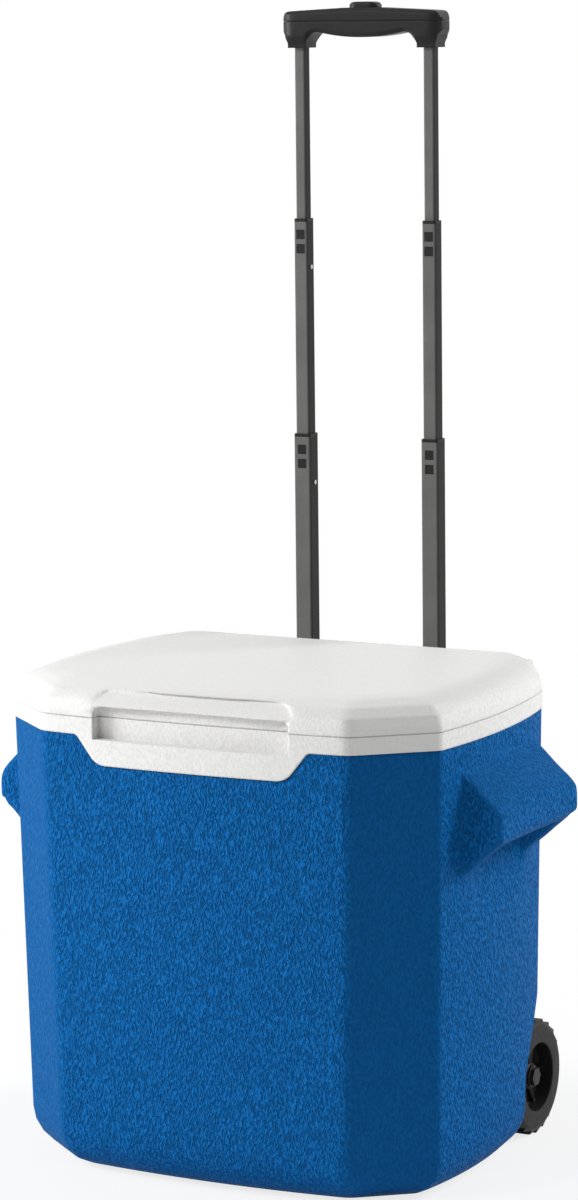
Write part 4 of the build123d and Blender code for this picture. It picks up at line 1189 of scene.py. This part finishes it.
@dataclass(frozen=True)
class SoftBox:
    """A large square lamp, with its size in metres."""

    name: str
    place: Triple
    aim: Triple
    size: float
    watts: float

    def hang(self) -> None:
        """Put the lamp into the scene."""
        lamp = bpy.data.lights.new(self.name, "AREA")
        lamp.size = self.size
        lamp.energy = self.watts
        holder = scene_object(self.name, lamp)
        holder.location = self.place
        holder.rotation_mode = "QUATERNION"
        aim = Vector(self.aim) - Vector(self.place)
        holder.rotation_quaternion = aim.to_track_quat("-Z", "Y")


@dataclass(frozen=True)
class Studio:
    """Pale floor, soft lamps and the camera at the photograph's viewing angle.

    Angles are in degrees, distances in metres, and lens and sensor in millimetres.
    """

    azimuth: float = 27.49
    elevation: float = 8.46
    roll: float = -0.64
    distance: float = 3.5333
    target: Triple = (0.00914, 0.0, 0.48682)
    lens: float = 122.53
    sensor: float = 36.0
    clip: tuple[float, float] = (0.1, 60.0)
    floor_colour: Triple = (0.86, 0.86, 0.86)
    floor_roughness: float = 0.8
    floor_specular: float = 0.2
    floor_reach: float = 12.0
    floor_fade: tuple[float, float] = (0.3, 0.9)
    floor_glow: float = 0.78
    air_glow: float = 0.24
    lamps: tuple[SoftBox, ...] = (
        SoftBox("left_key", (-2.7, -1.3, 1.5), aim=(0.0, 0.0, 0.3), size=1.3, watts=112.0),
        SoftBox("front_fill", (-1.6, -2.7, 2.8), aim=(0.0, 0.0, 0.3), size=1.3, watts=35.0),
        SoftBox("right_fill", (2.2, 1.5, 1.9), aim=(0.1, 0.0, 0.3), size=1.2, watts=74.0),
        SoftBox("overhead", (0.1, 0.3, 3.0), aim=(0.0, 0.0, 0.4), size=1.8, watts=4.0),
    )

    def set_camera(self) -> None:
        """Place the camera and make it the scene's."""
        turn, rise, roll = (math.radians(angle)
                            for angle in (self.azimuth, self.elevation, self.roll))
        back = Vector((math.sin(turn) * math.cos(rise), -math.cos(turn) * math.cos(rise),
                       math.sin(rise)))
        level = Vector((math.cos(turn), math.sin(turn), 0.0))
        upright = back.cross(level)
        right = math.cos(roll) * level + math.sin(roll) * upright
        up = back.cross(right)
        lens = bpy.data.cameras.new("photograph_camera")
        lens.lens = self.lens
        lens.sensor_width = self.sensor
        lens.clip_start, lens.clip_end = self.clip
        camera = scene_object("photograph_camera", lens)
        camera.matrix_world = Matrix.Translation(
            Vector(self.target) + back * self.distance) @ Matrix(
                (right, up, back)).transposed().to_4x4()
        bpy.context.scene.camera = camera

    def lay_floor(self) -> None:
        """Lay a pale floor that keeps the shadow and fades to plain white."""
        mesh = bpy.data.meshes.new("studio_floor")
        reach = self.floor_reach
        mesh.from_pydata([(-reach, -reach, 0), (reach, -reach, 0), (reach, reach, 0),
                          (-reach, reach, 0)], [], [(0, 1, 2, 3)])
        floor = scene_object("studio_floor", mesh)
        sheet = MaterialSheet("pale_floor")
        sheet.feed(sheet.shader, Base_Color=(*self.floor_colour, 1.0),
                   Roughness=self.floor_roughness, Specular_IOR_Level=self.floor_specular)
        radius = sheet.add("ShaderNodeVectorMath", sheet.place, operation="LENGTH")
        fade = sheet.spread(radius.outputs["Value"], self.floor_glow, 1.0, *self.floor_fade)
        glow = sheet.add("ShaderNodeEmission", WHITE, 1.0)
        mix = sheet.add("ShaderNodeMixShader", sheet.maths("MULTIPLY", fade, sheet.seen()),
                        sheet.shader, glow)
        sheet.feed(sheet.tree.nodes["Material Output"], Surface=mix)
        mesh.materials.append(sheet.material)

    def light(self) -> None:
        """Hang the lamps and set the world, which is dim but looks white."""
        world = bpy.data.worlds.new("studio_air")
        world.use_nodes = True
        bpy.context.scene.world = world
        sheet = Sheet(world.node_tree)
        air = sheet.feed(sheet.tree.nodes["Background"], Color=WHITE, Strength=self.air_glow)
        backdrop = sheet.add("ShaderNodeBackground", WHITE, 1.0)
        mix = sheet.add("ShaderNodeMixShader", sheet.seen(), air, backdrop)
        sheet.feed(sheet.tree.nodes["World Output"], Surface=mix)
        for lamp in self.lamps:
            lamp.hang()
        bpy.context.scene.view_settings.view_transform = "Standard"


def main() -> None:
    logging.basicConfig(level=logging.INFO, format="%(name)s: %(message)s")
    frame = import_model()
    slots = {part["node"]: Slot(part["material_slot"]) for part in frame["record"]["subparts"]}
    for kind in (CoolerBox, Lid, Wheels, TelescopingHandle):
        LOG.info("building %s", kind.__name__)
        kind(frame["nodes"], slots).build()
    studio = Studio()
    studio.set_camera()
    studio.lay_floor()
    studio.light()


if __name__ == "__main__":
    main()
